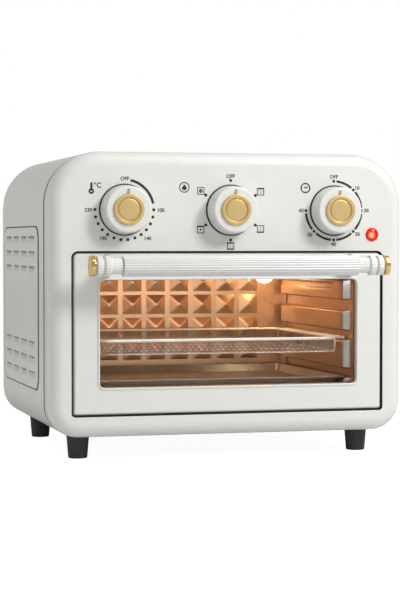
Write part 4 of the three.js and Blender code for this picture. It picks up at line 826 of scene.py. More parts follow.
class Pattern:
    """A Geometry Nodes tree with named inputs, which makes one plain mesh at a time."""

    def __init__(self, name: str, inputs: dict) -> None:
        """Starts the tree, whose inputs go by name to a socket type and a starting value."""
        self.graph, self.given, self.out = new_group(
            name, "GeometryNodeTree",
            {"Geometry": "Geometry", **inputs, "Finish": "Material"},
            {"Geometry": "Geometry"},
        )

    def unit(self) -> Socket:
        """The geometry of the unit that goes in."""
        return self.graph.get("GeometryNodeObjectInfo", {0: self.given["Unit"]}, "Geometry")

    def spread(
        self, points: Socket, unit: Socket,
        place: Socket | None = None, **feeds: object,
    ) -> "Pattern":
        """Sets a unit on each point, moved to its place if one is given, and ends the tree."""
        if place is not None:
            points = self.graph.get("GeometryNodeSetPosition", {"Geometry": points, "Position": place})
        return self.finish_with(self.graph.get(
            "GeometryNodeInstanceOnPoints", {"Points": points, "Instance": unit, **feeds},
        ))

    def finish_with(self, geometry: Socket) -> "Pattern":
        """Ends the tree in plain, dressed faces."""
        real = self.graph.get("GeometryNodeRealizeInstances", {0: geometry})
        self.graph.feed(self.out, {0: self.graph.get(
            "GeometryNodeSetMaterial", {"Geometry": real, "Material": self.given["Finish"]},
        )})
        return self

    def make(
        self, name: str, material: Material, base: Mesh | None = None,
        **values: object,
    ) -> Piece:
        """Runs the tree once and keeps its result as a plain mesh."""
        carrier = linked(f"{name}_carrier", base or bpy.data.meshes.new(name))
        modifier = carrier.modifiers.new("pattern", "NODES")
        modifier.node_group = self.graph.tree
        identifiers = {
            item.name: item.identifier
            for item in self.graph.tree.interface.items_tree if item.in_out == "INPUT"
        }
        for key, value in (("Finish", material), *values.items()):
            modifier[identifiers[key.replace("_", " ").title()]] = value
        return shown(name, evaluated(carrier))


def grid_pattern() -> Pattern:
    """A tree that repeats one unit over a grid of columns and rows."""
    pattern = Pattern("unit_grid", {
        "Unit": "Object",
        "Columns": 4,
        "Rows": 3,
        "Column Step": ORIGIN,
        "Row Step": ORIGIN,
    })
    graph, given = pattern.graph, pattern.given
    total = graph.sum("MULTIPLY", given["Columns"], given["Rows"])
    index = graph.get("GeometryNodeInputIndex")
    column = graph.sum("MODULO", index, given["Columns"])
    row = graph.sum("FLOOR", graph.sum("DIVIDE", graph.sum("ADD", index, 0.001), given["Columns"]))
    steps = [
        graph.get("ShaderNodeVectorMath", {0: given[label], "Scale": count}, operation="SCALE")
        for label, count in (("Column Step", column), ("Row Step", row))
    ]
    points = graph.get("GeometryNodePoints", {"Count": total})
    return pattern.spread(points, pattern.unit(), graph.vector("ADD", *steps))


def point_pattern() -> Pattern:
    """A tree that sets one unit on every vertex of the mesh that goes in."""
    pattern = Pattern("unit_on_points", {"Unit": "Object"})
    points = pattern.graph.get("GeometryNodeMeshToPoints", {"Mesh": pattern.given["Geometry"]})
    return pattern.spread(points, pattern.unit())


def path_pattern() -> Pattern:
    """A tree that sets one unit at even steps along the edge loop that goes in."""
    pattern = Pattern("unit_on_path", {
        "Unit": "Object", "Count": 100,
    })
    graph, given = pattern.graph, pattern.given
    curve = graph.get("GeometryNodeMeshToCurve", {0: given["Geometry"]})
    stations = graph.add("GeometryNodeCurveToPoints", {"Curve": curve, "Count": given["Count"]}).outputs
    turn = graph.get(
        "FunctionNodeAlignRotationToVector", {"Vector": stations["Tangent"]}, axis="X", pivot_axis="Z",
    )
    return pattern.spread(stations[0], pattern.unit(), Rotation=turn)


def dial_pattern() -> Pattern:
    """A tree that sets discs on an arc of a circle that faces the front."""
    pattern = Pattern("dial_dots", {
        "Centre": ORIGIN,
        "Count": 10,
        "Reach": 0.03,
        "Start": 0.0,
        "Step": 0.1,
        "Dot Radius": 0.001,
        "Thickness": 0.0001,
    })
    graph, given = pattern.graph, pattern.given
    turn = graph.sum(
        "MULTIPLY_ADD", graph.get("GeometryNodeInputIndex"), given["Step"], given["Start"],
    )
    arm = graph.get("ShaderNodeCombineXYZ", {
        0: graph.sum("MULTIPLY", graph.sum("SINE", turn), given["Reach"]),
        2: graph.sum("MULTIPLY", graph.sum("COSINE", turn), given["Reach"]),
    })
    disc = graph.get("GeometryNodeMeshCylinder", {
        "Vertices": 20, "Radius": given["Dot Radius"], "Depth": given["Thickness"],
    })
    points = graph.get("GeometryNodePoints", {"Count": given["Count"]})
    place = graph.vector("ADD", arm, given["Centre"])
    return pattern.spread(points, disc, place, Rotation=(math.pi / 2, 0.0, 0.0))


def flute_pattern() -> Pattern:
    """A tree that makes a long bar with rounded flutes, lying across."""
    pattern = Pattern("fluted_bar", {
        "Centre": ORIGIN,
        "Radius": 0.0105,
        "Depth": 0.0009,
        "Flutes": 24,
        "Length": 0.24,
    })
    graph, given = pattern.graph, pattern.given
    bar = graph.get("GeometryNodeMeshCylinder", {
        "Vertices": graph.sum("MULTIPLY", given["Flutes"], 10), "Side Segments": 3,
        "Radius": given["Radius"], "Depth": given["Length"],
    })
    parts = graph.add("ShaderNodeSeparateXYZ", {0: graph.get("GeometryNodeInputPosition")}).outputs
    turn = graph.sum("ARCTAN2", parts[1], parts[0])
    wave = graph.sum("COSINE", graph.sum("MULTIPLY", turn, given["Flutes"]))
    groove = graph.sum("POWER", graph.sum("MULTIPLY_ADD", wave, 0.5, 0.5), 1.6)
    share = graph.sum("DIVIDE", given["Depth"], given["Radius"])
    factor = graph.sum("SUBTRACT", 1.0, graph.sum("MULTIPLY", groove, share))
    shaped = graph.get("ShaderNodeCombineXYZ", {
        0: graph.sum("MULTIPLY", parts[0], factor), 1: graph.sum("MULTIPLY", parts[1], factor), 2: parts[2],
    })
    fluted = graph.get("GeometryNodeSetPosition", {"Geometry": bar, "Position": shaped})
    return pattern.finish_with(graph.get("GeometryNodeTransform", {
        "Geometry": fluted, "Translation": given["Centre"], "Rotation": (0.0, math.pi / 2, 0.0),
    }))


def centred(skin: Skin, name: str) -> Piece:
    """Makes a unit for a pattern, about the origin in metres rather than at the datum."""
    unit = skin.build(name)
    unit.data.transform(Matrix.Translation((0.0, -FRONT, 0.0)))
    unit.hide_render = True
    return unit


@dataclass
class CabinetShell:
    """The moulded front bezel and the bent wrap behind it."""

    shop: Workshop
    half_width: float = 190.0
    bottom: float = 24.5
    top: float = 317.0
    top_radius: float = 54.0
    bottom_radius: float = 31.0
    bezel_depth: float = 31.5
    nose: float = 14.0
    wall: float = 2.2
    opening: tuple[float, float, float, float] = (-167.8, 167.8, 46.0, 215.15)
    opening_radii: tuple[float, float] = (7.0, 4.0)
    jamb_wall: float = 2.0
    jamb_depth: float = 20.0
    dial_hole: float = 4.4
    lens_hole: float = 6.0
    wrap_inset: float = 0.2
    wrap_rear: float = 298.7
    roll: tuple[tuple[float, float], ...] = (
        (32.5, 3.2), (39.0, 3.2), (39.3, 2.6), (39.5, 1.2), (39.9, 0.4), (40.8, 0.0),
    )
    sheet: float = 1.0
    flange_inner: float = 136.0
    field: tuple[float, float, float, float] = (69.0, 284.0, 69.0, 240.3)
    groove: tuple[tuple[float, float], ...] = (
        (1.6, 0.0), (1.3, 0.0), (1.1, 0.12), (1.0, 0.5), (0.9, 1.6), (0.25, 1.6), (0.1, 1.2),
    )
    field_radius: float = 15.0
    field_rise: float = 0.5
    field_slope: float = 0.5
    louvre_length: float = 37.5
    louvre_height: float = 6.8
    louvre_scoop: float = 2.0
    louvre_slit: float = 1.0
    louvre_first: float = 106.0
    louvre_pitch: tuple[float, float] = (49.2, 16.0)
    louvre_tops: tuple[float, float] = (230.6, 118.9)
    louvre_columns: int = 4
    louvre_rows: int = 3

    def outline(self, inset: float, steps: int = 16) -> Flat:
        """The cabinet's outline from the front, drawn in by a distance."""
        return rounded(
            inset - self.half_width, self.half_width - inset, self.bottom + inset,
            self.top - inset, self.top_radius - inset, self.bottom_radius - inset, steps,
        )

    def opening_outline(self, grow: float) -> Flat:
        """The door opening's outline, widened by a distance."""
        left, right, bottom, top = self.opening
        upper, lower = self.opening_radii
        return rounded(
            left - grow, right + grow, bottom - grow, top + grow, upper + grow, lower + grow, 8,
        )

    def build_bezel(self) -> None:
        """Makes the bezel: nose, flat face, holes, inner skin and the door's jamb."""
        skin = Skin()
        edge = 0.5

        def shell(inset: float) -> list[list[int]]:
            """One skin of the bezel, from its flat face to its rear edge."""
            radius = self.nose - inset
            return skin.draw(self.outline, (
                (inset + radius + edge, inset),
                *(
                    (inset + radius * (1 - sine), inset + radius * (1 - cosine))
                    for cosine, sine in quarter(12)
                ),
                (inset, self.bezel_depth - edge),
            ))

        outside, inside = shell(0.0), shell(self.wall)
        rim = skin.draw(self.outline, (
            (edge * 0.4, self.bezel_depth), (self.wall - edge * 0.4, self.bezel_depth),
        ))
        skin.bridge(outside[-1], rim[0])
        skin.bridge(rim[1], inside[-1])
        holes = [
            skin.draw(lambda _: circle(radius, across, up, 32), ((0.0, 0.0), (0.0, self.wall)))
            for across, up, radius in (
                *((across, DIAL_HEIGHT, self.dial_hole) for *_, across in DIALS),
                (*LENS_PLACE, self.lens_hole),
            )
        ]
        lip = skin.draw(self.opening_outline, (
            (2 * edge, 0.0), *((edge * (1 - sine), edge * (1 - cosine)) for cosine, sine in quarter(4)),
        ))
        # The jamb takes the black finish: painted shade for the door gap.
        skin.slot = 1
        jamb = skin.draw(self.opening_outline, (
            (0.0, 1.02 * edge), (0.0, self.jamb_depth), (self.jamb_wall, self.jamb_depth),
            (self.jamb_wall, self.wall),
        ))
        skin.slot = 0
        skin.bridge(lip[-1], jamb[0])
        skin.fill(outside[0], [lip[0], *(hole[0] for hole in holes)])
        skin.fill(inside[0], [jamb[-1], *(hole[1] for hole in holes)])
        piece = skin.build("bezel_shell")
        # A black ring in the door gap, 2.4 to 4.2 mm behind the face: painted shade that keeps the gap dark.
        gap_shade = plate(
            lambda grow: self.opening_outline(grow - 0.1), [lambda grow: self.opening_outline(grow - 1.5)],
            Axis.INWARDS, 2.4, 4.2, 0.2,
        )
        self.shop.fit(gap_shade.build("door_seal"), Body.CABINET, BLACK)
        # A dark rubber strip that fills the seam between the bezel and the wrap: painted shadow that draws
        # the seam's dark line.
        seam_shadow = plate(
            lambda grow: self.outline(0.5 - grow), [lambda grow: self.outline(2.6 - grow)],
            Axis.INWARDS, 31.7, 39.1, 0.2,
        )
        self.shop.fit(seam_shadow.build("bezel_gasket"), Body.CABINET, RUBBER)
        self.shop.fit(piece, Body.CABINET, IVORY, "front_bezel", extra=(BLACK,))

    def build_side(self, side: int) -> Piece:
        """Makes one side: its raised field, with a slot at each louvre.

        Args:
            side: 1 for the right side, -1 for the left.

        Returns:
            The sheet as a single surface, without its thickness.
        """
        skin = Skin()
        face = self.half_width - self.wrap_inset
        front, rear, bottom, top = self.field
        low = self.bottom + self.bottom_radius
        high = self.top - self.top_radius
        start = self.roll[-1][0]

        def loop(points: Flat, rise: float) -> list[int]:
            """One ring that faces sideways, raised from the side."""
            return skin.flat(Axis.ACROSS, points, side * (face + rise))

        def field_ring(inset: float, rise: float, stretch: float = 1.0) -> list[int]:
            """One ring round the field, drawn in further from the front and the rear by a factor."""
            radius = self.field_radius - inset
            return loop(rounded(
                front + inset * stretch, rear - inset * stretch, bottom + inset, top - inset,
                radius, radius, 8,
            ), rise)

        border, within = (
            loop([
                (start + inset, low + inset), (self.wrap_rear - inset, low + inset),
                (self.wrap_rear - inset, high - inset), (start + inset, high - inset),
            ], 0.0)
            for inset in (0.0, GUARD)
        )
        skin.bridge(border, within)
        skin.grid([(side * (face - drop), along, up) for up in (low, high)] for along, drop in self.roll)
        press = [field_ring(-out, -drop, 4.5) for out, drop in self.groove]
        press += [
            field_ring(
                self.field_slope * (1 - cosine) + 0.1, self.field_rise - self.field_slope * (1 - sine),
            )
            for cosine, sine in quarter(4)
        ]
        press.append(field_ring(self.field_slope + 0.8, self.field_rise))
        # Press rings 2 to 9, the groove's walls, take the crevice finish: painted shade along the field's
        # edge.
        shade_start, shade_end = 2, 9
        skin.strip(press[:shade_start + 1])
        skin.slot = 1
        skin.strip(press[shade_start:shade_end + 1])
        skin.slot = 0
        skin.strip(press[shade_end:])
        skin.fill(within, [press[0]])
        half = self.louvre_length / 2 - 0.2
        column_pitch, row_pitch = self.louvre_pitch
        skin.fill(press[-1], [
            loop(rounded(
                middle - half, middle + half, upper - self.louvre_height + 0.2, upper, 1.0, 1.8, 3,
            ), self.field_rise)
            for first in self.louvre_tops
            for upper in (first - row * row_pitch for row in range(self.louvre_rows))
            for middle in (self.louvre_first + n * column_pitch for n in range(self.louvre_columns))
        ])
        return skin.build("side_field", outwards=False)

    def louvre_unit(self, side: int) -> Piece:
        """Makes one louvre about the middle of its top edge, pressed inwards."""
        skin = Skin()
        columns, rows = 20, 6

        def place(along: float, climb: float, thickness: float) -> Place:
            """A place on the louvre, from -1 to 1 along it and from 0 to 1 up it."""
            depth = self.louvre_scoop * (1 - abs(along) ** 5) ** 0.8 * climb ** 1.25
            up = -self.louvre_height + (self.louvre_height - self.louvre_slit) * climb
            return -side * (depth + thickness), self.louvre_length / 2 * along, up

        outer, inner = (
            skin.grid(
                [place(2 * column / columns - 1, row / rows, thickness) for column in range(columns + 1)]
                for row in range(rows + 1)
            )
            for thickness in (0.0, self.sheet * 0.7)
        )
        for end in (0, -1):
            skin.bridge(outer[end], inner[end], closed=False)
            skin.bridge([line[end] for line in outer], [line[end] for line in inner], closed=False)
        return centred(skin, "louvre_unit")

    def slit_unit(self, side: int) -> Piece:
        """Makes the dark plate over one louvre, just behind the field's face: painted shade for the louvre's
        opening.
        """
        half, low, high = self.louvre_length / 2 - 0.5, -self.louvre_slit - 0.3, -0.1
        corners = ((-half, low), (half, low), (half, high), (-half, high))
        skin = Skin()
        skin.loft([[(-side * depth, along, up) for along, up in corners] for depth in (0.2, 0.6)])
        return centred(skin, "slit_unit")

    def build_wrap(self) -> None:
        """Makes the wrap: the bent sheet with both sides' fields in it."""
        strips: list[list[list[Place]]] = [[], [], []]
        for along, drop in (
            *self.roll, (self.roll[-1][0] + GUARD, 0.0), (self.wrap_rear - GUARD, 0.0), (self.wrap_rear, 0.0),
        ):
            points = self.outline(self.wrap_inset + drop)
            corner = len(points) // 4
            flange = self.bottom + self.wrap_inset + drop
            for rows, part in zip(strips, (
                [(self.flange_inner, flange), *points[:corner - 1]],
                points[corner + 1:3 * corner - 1],
                [*points[3 * corner + 1:], (-self.flange_inner, flange)],
            )):
                rows.append([(a, along, b) for a, b in part])
        skin = Skin()
        for rows in strips:
            skin.grid(rows)
        arched = skin.build("wrap_arch", outwards=False)
        piece = joined("wrap_sheet", [arched, self.build_side(1), self.build_side(-1)])
        with edited(piece.data) as net:
            bmesh.ops.remove_doubles(net, verts=net.verts, dist=METRE / 100)
            bmesh.ops.recalc_face_normals(net, faces=net.faces)
            middle = Vector((0.0, 0.0, (self.bottom + self.top) / 2 * METRE))
            if sum(face.normal.dot(face.calc_center_median() - middle) for face in net.faces) < 0:
                bmesh.ops.reverse_faces(net, faces=net.faces)
        for finish in (IVORY, CREVICE_SHADE):
            piece.data.materials.append(self.shop.material(finish))
        piece = thickened(piece, self.sheet)
        self.shop.fit(piece, Body.CABINET, IVORY, "outer_wrap", extra=(CREVICE_SHADE,))

    def build_louvres(self) -> None:
        """Makes both sides' louvres with the grid pattern."""
        face = self.half_width - self.wrap_inset + self.field_rise
        column_pitch, row_pitch = self.louvre_pitch
        for side, word in SIDES:
            # The louvres take the darker louvre shade, and the dark plates over their slits the crevice
            # shade: both are painted shade.
            for name, make_unit, finish in (
                ("louvres", self.louvre_unit, LOUVRE_SHADE), ("louvre_slits", self.slit_unit, CREVICE_SHADE),
            ):
                unit = make_unit(side)
                fields = [
                    self.shop.lay_grid(
                        name, finish, unit, (self.louvre_columns, self.louvre_rows),
                        (0.0, column_pitch, 0.0), (0.0, 0.0, -row_pitch),
                        (side * face, self.louvre_first, first),
                    )
                    for first in self.louvre_tops
                ]
                bpy.data.objects.remove(unit)
                self.shop.fit(joined(f"{name}_{word}", fields), Body.CABINET, finish)

    def build(self) -> None:
        """Makes the whole shell."""
        self.build_bezel()
        self.build_wrap()
        self.build_louvres()


@dataclass
class Door:
    """The drop-down door with its window, liner and handle."""

    shop: Workshop
    box: tuple[float, float, float, float] = (-165.8, 165.8, 48.0, 213.15)
    radii: tuple[float, float] = (5.0, 2.4)
    edge: float = 4.5
    edge_share: float = 0.6
    depth: float = 15.0
    wall: float = 2.2
    window: tuple[float, float, float, float] = (-138.4, 138.4, 75.4, 185.6)
    window_radius: float = 5.0
    lip_width: float = 2.2
    lip_rise: float = 1.2
    glass: tuple[float, float] = (6.2, 10.2)
    glass_margin: float = 7.6
    handle_out: float = 41.1
    handle_height: float = 200.5
    handle_radius: float = 10.5
    grip_half: float = 123.8
    flutes: int = 24
    flute_depth: float = 0.75

    def outline(self, inset: float) -> Flat:
        """The door's outline, drawn in by a distance."""
        left, right, bottom, top = self.box
        upper, lower = (max(radius - inset, 0.5) for radius in self.radii)
        return rounded(left + inset, right - inset, bottom + inset, top - inset, upper, lower, 6)

    def window_outline(self, grow: float) -> Flat:
        """The window's outline, widened by a distance."""
        left, right, bottom, top = self.window
        radius = self.window_radius + grow
        return rounded(left - grow, right + grow, bottom - grow, top + grow, radius, radius, 8)

    def build_frame(self) -> None:
        """Makes the moulded door frame, with its rounded edge and raised window lip."""
        skin = Skin()
        reach = self.edge * self.edge_share
        edge = skin.draw(self.outline, (
            (reach + 0.8, 0.0),
            *((reach * (1 - sine), self.edge * (1 - cosine)) for cosine, sine in quarter(8)),
            (0.0, self.depth), (self.wall, self.depth), (self.wall, self.wall),
        ))
        steps = 8
        bead = []
        for step in range(steps + 1):
            turn = math.pi * step / steps
            rise = self.lip_rise * math.sin(turn) ** 0.7 if 0 < step < steps else 0.0
            bead.append((self.lip_width / 2 * (1 + math.cos(turn)), -rise))
        seat = self.glass[0] - 0.3
        lip = skin.draw(self.window_outline, (
            (self.lip_width + 0.6, 0.0), *bead, (0.0, seat), (self.glass_margin, seat),
            (self.glass_margin, self.wall),
        ))
        skin.fill(edge[0], [lip[0]])
        skin.fill(edge[-1], [lip[-1]])
        self.shop.fit(skin.build("door_shell"), Body.DOOR, IVORY, "door_frame")

    def build_pane(self) -> None:
        """Makes the window's pane of toughened glass, with ground edges."""
        skin = plate(
            lambda grow: self.window_outline(self.glass_margin + grow), (), Axis.INWARDS, *self.glass,
        )
        self.shop.fit(skin.build("window_pane"), Body.DOOR, GLASS, "door_glass")

    def build_grip(self) -> None:
        """Makes the fluted grip with its Geometry Nodes tree."""
        piece = self.shop.flutes.make(
            "fluted_grip", self.shop.material(PEARL),
            centre=to_frame((0.0, -self.handle_out, self.handle_height)),
            radius=self.handle_radius * METRE, depth=self.flute_depth * METRE,
            flutes=self.flutes, length=2 * self.grip_half * METRE,
        )
        self.shop.fit(piece, Body.DOOR, PEARL, "handle_grip")

    def build_end(self, side: int, word: str) -> None:
        """Makes one end of the handle: neck, two fluted collars, post and cap.

        Args:
            side: 1 for the right end, -1 for the left.
            word: The end's name.
        """
        out, up, radius = -self.handle_out, self.handle_height, self.handle_radius

        def spun(profile: Flat, ease: float, sides: int) -> Skin:
            """A form turned about the handle's axis."""
            return turned(
                [(r, side * along) for r, along in eased(profile, ease)], Axis.ACROSS, out, up, sides,
            )

        skin = spun([
            (0.0, 124.1), (8.0, 124.1), (8.0, 135.2), (8.4, 136.2), (10.0, 136.6), (radius, 137.1),
            (radius, 141.8), (10.2, 142.3), (7.8, 142.5), (7.8, 144.9), (10.2, 145.1),
            (radius, 145.6), (radius, 150.2), (10.2, 150.7), (7.8, 150.9), (7.8, 151.6), (0.0, 151.6),
        ], 0.5, 8 * self.flutes)
        plain_radius, flute_depth = 7.6, 0.45
        for index, (a, b, c) in enumerate(skin.places):
            b, c = b - out, c - up
            away = math.hypot(b, c)
            if away > plain_radius:
                wave = 0.5 + 0.5 * math.cos(self.flutes * math.atan2(c, b))
                share = 1 - flute_depth * wave / away
                skin.places[index] = (a, out + b * share, up + c * share)
        middle = side * 130.6
        post = (
            (8.0, 12.0, out), (8.0, 12.0, out + 8.0), (8.6, 13.2, -27.0), (9.8, 15.4, -20.0),
            (11.0, 18.0, -12.0), (12.2, 21.4, -5.0), (13.0, 24.0, -1.4), (12.7, 23.6, -0.5),
            (12.2, 23.0, -0.3),
        )
        skin.loft([
            [(middle + width / 2 * a, place, up + height / 2 * b) for a, b in circle(1.0, 0.0, 0.0, 36)]
            for width, height, place in post
        ])
        piece = skin.build(f"handle_bracket_{word}")
        self.shop.fit(piece, Body.DOOR, IVORY, f"handle_end_{word}")
        cap = spun([
            (0.0, 151.9), (7.8, 151.9), (7.8, 152.7), (10.2, 152.8), (10.5, 153.1), (10.5, 157.0),
            (10.2, 157.4), (9.0, 157.6), (6.0, 157.95), (3.0, 158.12), (0.0, 158.2),
        ], 0.25, 72)
        piece = cap.build(f"handle_end_ring_{word}")
        self.shop.fit(piece, Body.DOOR, BRIGHT_GOLD, f"handle_cap_{word}")

    def build(self) -> None:
        """Makes the whole door."""
        self.build_frame()
        self.build_pane()
        self.build_grip()
        self.shop.dress(CHAMBER, "door_liner")
        for side, word in SIDES:
            self.build_end(side, word)
            self.shop.dress(ZINC, *(
                f"{part}_{word}" for part in ("hinge_pin", "hinge_bracket", "door_stay", "hinge_spring")
            ))


@dataclass
class Dial:
    """One control: its knob, its cap with the pointer, and the black ring behind it, a painted shadow round
    the knob's base.
    """

    shop: Workshop
    name: str
    body: Body
    across: float
    height: float = DIAL_HEIGHT
    sides: int = 96
    skirt_radius: float = 26.5
    skirt_hole: float = 8.0

    def build_knob(self) -> None:
        """Makes the knob: a tapered shell with a soft shoulder and a bored hub."""
        shoulder = [(24.2 - 2.2 * (1 - cosine), -16.9 - 4.3 * sine) for cosine, sine in quarter(8)]
        bore = [(3.4, -1.3), (3.4, -16.8), (0.0, -16.8)]
        shell = [
            (0.0, -21.2), (21.4, -21.2), *reversed(shoulder), (24.28, -15.6), (24.95, -5.0),
            (25.15, -3.4), (25.3, -2.4), (25.3, -1.6), (25.0, -1.3), (22.9, -1.3), (21.1, -15.3),
            (6.0, -15.3), (6.0, -1.3), (3.4, -1.3),
        ]
        skin = Skin()
        for profile in (shell, bore):
            turned(profile, Axis.INWARDS, self.across, self.height, self.sides, skin=skin)
        piece = skin.build(f"{self.name}_knob_shell")
        # A black ring on the panel round the knob's base: painted shadow of the gap under the knob.
        shadow_ring = plate(
            lambda grow: circle(self.skirt_radius + grow, self.across, self.height, self.sides),
            [lambda grow: circle(self.skirt_hole + grow, self.across, self.height, 32)],
            Axis.INWARDS, -0.9, -0.05, 0.1,
        )
        self.shop.fit(shadow_ring.build(f"{self.name}_skirt"), Body.CABINET, BLACK)
        self.shop.fit(piece, self.body, IVORY, f"{self.name}_knob")

    def build_cap(self) -> None:
        """Makes the gold cap: a rim round a shallow dish, with the pointer above it."""
        profile = [
            (0.0, -22.9), (10.1, -22.9), (10.5, -22.7), (10.6, -21.8), (11.5, -21.8), (11.7, -22.4),
            (12.4, -23.5), (12.8, -23.6), (15.2, -23.6), (15.7, -23.2), (15.7, -21.5), (0.0, -21.5),
        ]
        skin = turned(eased(profile, 0.2), Axis.INWARDS, self.across, self.height, self.sides)
        root, tip = self.height + 15.2, self.height + 21.2

        def pointer(grow: float) -> Flat:
            """The pointer's outline, narrowed towards its tip."""
            low, high = 1.05 + grow, 0.75 + grow
            end = tip + grow
            half = ((low, root), (high, end - 0.4), (high * 0.5, end))
            return [
                (self.across - low, root), *((self.across + out, up) for out, up in half),
                (self.across - high * 0.5, end), (self.across - high, end - 0.4),
            ]

        plate(pointer, (), Axis.INWARDS, -23.1, -21.5, 0.2, skin)
        self.shop.fit(skin.build(f"{self.name}_cap_disc"), self.body, GOLD, f"{self.name}_knob_cap")

    def build(self) -> None:
        """Makes the dial's own pieces."""
        self.build_knob()
        self.build_cap()
        self.shop.dress(ZINC, f"{self.name}_spindle")


@dataclass
class Print:
    """The dots, arcs, numerals and pictograms printed round the dials."""

    shop: Workshop
    reach: float = 30.8
    dot: float = 1.6
    film: float = 0.1
    gap: float = 0.02
    weight: float = 0.13
    thin: float = 0.8
    bar: float = 1.2
    height: float = DIAL_HEIGHT

    def dots(self, across: float, count: int, start: float, step: float) -> Piece:
        """Makes evenly spaced dots round a dial."""
        return self.shop.dots.make(
            "dots", self.shop.material(INK),
            centre=to_frame((across, -self.film / 2 - self.gap, self.height)), count=count,
            reach=self.reach * METRE, start=math.radians(start), step=math.radians(step),
            dot_radius=self.dot * METRE, thickness=self.film * METRE,
        )

    def band(
        self, across: float, up: float, points: Flat, width: float, closed: bool = False,
    ) -> Piece:
        """Makes a printed line of even width.

        Args:
            across: The middle across.
            up: The middle up.
            points: The line's points from that middle.
            width: The line's width.
            closed: Whether the line closes on itself.

        Returns:
            The line.
        """
        skin = Skin()
        spots = [Vector((across + a, up + b)) for a, b in points]
        rings = []
        for index, here in enumerate(spots):
            before, after = neighbours(spots, index, closed)
            along = (after - before).normalized()
            bend = 1.0
            if closed or 0 < index < len(spots) - 1:
                bend = max(abs((after - here).normalized().dot(along)), 0.5)
            side = Vector((-along.y, along.x)) * (width / 2 / bend)
            left, right = here + side, here - side
            rings.append(skin.ring((spot.x, depth, spot.y) for spot, depth in (
                (left, -self.film), (right, -self.film), (right, -self.gap), (left, -self.gap),
            )))
        skin.strip(rings, looped=closed)
        if not closed:
            skin.cap(rings)
        return skin.build("band")

    def hoop(self, across: float, up: float, radius: float, sides: int, width: float) -> Piece:
        """Makes a printed ring."""
        return self.band(across, up, circle(radius, 0.0, 0.0, sides), width, closed=True)

    def arc(self, across: float, start: float, end: float, width: float) -> Piece:
        """Makes a printed arc round a dial, from one turn to another, in degrees."""
        steps = max(int(abs(end - start) / 4), 4)
        turns = [math.radians(start + (end - start) * step / steps) for step in range(steps + 1)]
        points = [(self.reach * math.sin(t), self.reach * math.cos(t)) for t in turns]
        return self.band(across, self.height, points, width)

    def text(self, words: str, across: float, up: float, size: float = 5.3) -> Piece:
        """Makes a printed numeral or mark, centred on a place."""
        curve = bpy.data.curves.new("mark", "FONT")
        curve.body = words
        curve.size = size * METRE
        curve.align_x = curve.align_y = "CENTER"
        curve.extrude = self.film / 2 * METRE
        curve.offset = self.weight * METRE
        curve.resolution_u = 4
        mesh = evaluated(linked("mark", curve))
        mesh.transform(Matrix.Rotation(math.pi / 2, 4, "X"))
        mesh.transform(Matrix.Translation(to_frame((across, -self.film / 2 - self.gap, up))))
        return shown("mark", mesh)

    def box_mark(self, across: float, up: float, *signs: str) -> list[Piece]:
        """Makes a function pictogram: a square with heater bars, and a fan or nine ticks.

        Args:
            across: The middle across.
            up: The middle up.
            signs: Which of upper, lower, fan and air are marked.

        Returns:
            The pictogram's pieces.
        """
        half, inner = 3.5, 3.1
        corners = [(-half, -half), (half, -half), (half, half), (-half, half)]
        marks = [self.band(across, up, corners, self.thin, closed=True)]
        for word, level in (("upper", inner), ("lower", -inner)):
            if word in signs:
                marks.append(self.band(across, up, [(-half, level), (half, level)], self.bar))
        if "fan" in signs:
            marks.append(self.hoop(across, up, 0.5, 12, 1.0))
        else:
            marks.extend(
                self.band(across + x, up + y, [(0.0, -0.35), (0.0, 0.35)], 0.6)
                for x in (-1.7, 0.0, 1.7) for y in (-1.7, -0.3, 1.1)
            )
        if "air" in signs:
            marks.append(self.hoop(across, up, 1.7, 20, self.thin))
        return marks

    def thermometer(self, across: float, up: float) -> list[Piece]:
        """Makes the thermometer pictogram with its unit."""
        return [
            self.band(across, up, [(0.0, -3.2), (0.0, 4.6)], 2.2),
            self.hoop(across, up - 4.2, 1.9, 24, 1.9),
            *(self.band(across, up, [(1.6, level), (2.8, level)], 0.4) for level in (1.0, 3.0)),
            self.text("°C", across + 6.4, up + 1.6, 7.2),
        ]

    def flame(self, across: float, up: float) -> list[Piece]:
        """Makes the flame pictogram in its ring."""
        outline = [
            (0.0, -3.1), (1.7, -2.6), (2.6, -1.0), (2.2, 0.8), (1.2, 2.0), (0.9, 0.9), (0.5, 2.4),
            (-0.6, 3.6), (-0.6, 2.0), (-1.6, 0.9), (-2.5, -0.6), (-1.9, -2.4),
        ]
        skin = Skin()
        rings = skin.draw(
            lambda _: [(across + a, up + b) for a, b in outline], ((0.0, -self.film), (0.0, -self.gap)),
        )
        for ring in rings:
            skin.fill(ring)
        return [self.hoop(across, up, 5.0, 40, 1.0), skin.build("flame")]

    def clock(self, across: float, up: float) -> list[Piece]:
        """Makes the clock pictogram: a ring, four ticks and two hands."""
        ticks = [
            self.band(across, up, [(reach * a, reach * b) for reach in (3.4, 4.6)], self.thin)
            for a, b in ((0.0, 1.0), (1.0, 0.0), (0.0, -1.0), (-1.0, 0.0))
        ]
        hands = self.band(across, up, [(-1.6, 1.4), (0.0, -0.4), (2.6, 2.2)], 1.15)
        return [self.hoop(across, up, 4.8, 40, 1.3), *ticks, hands]

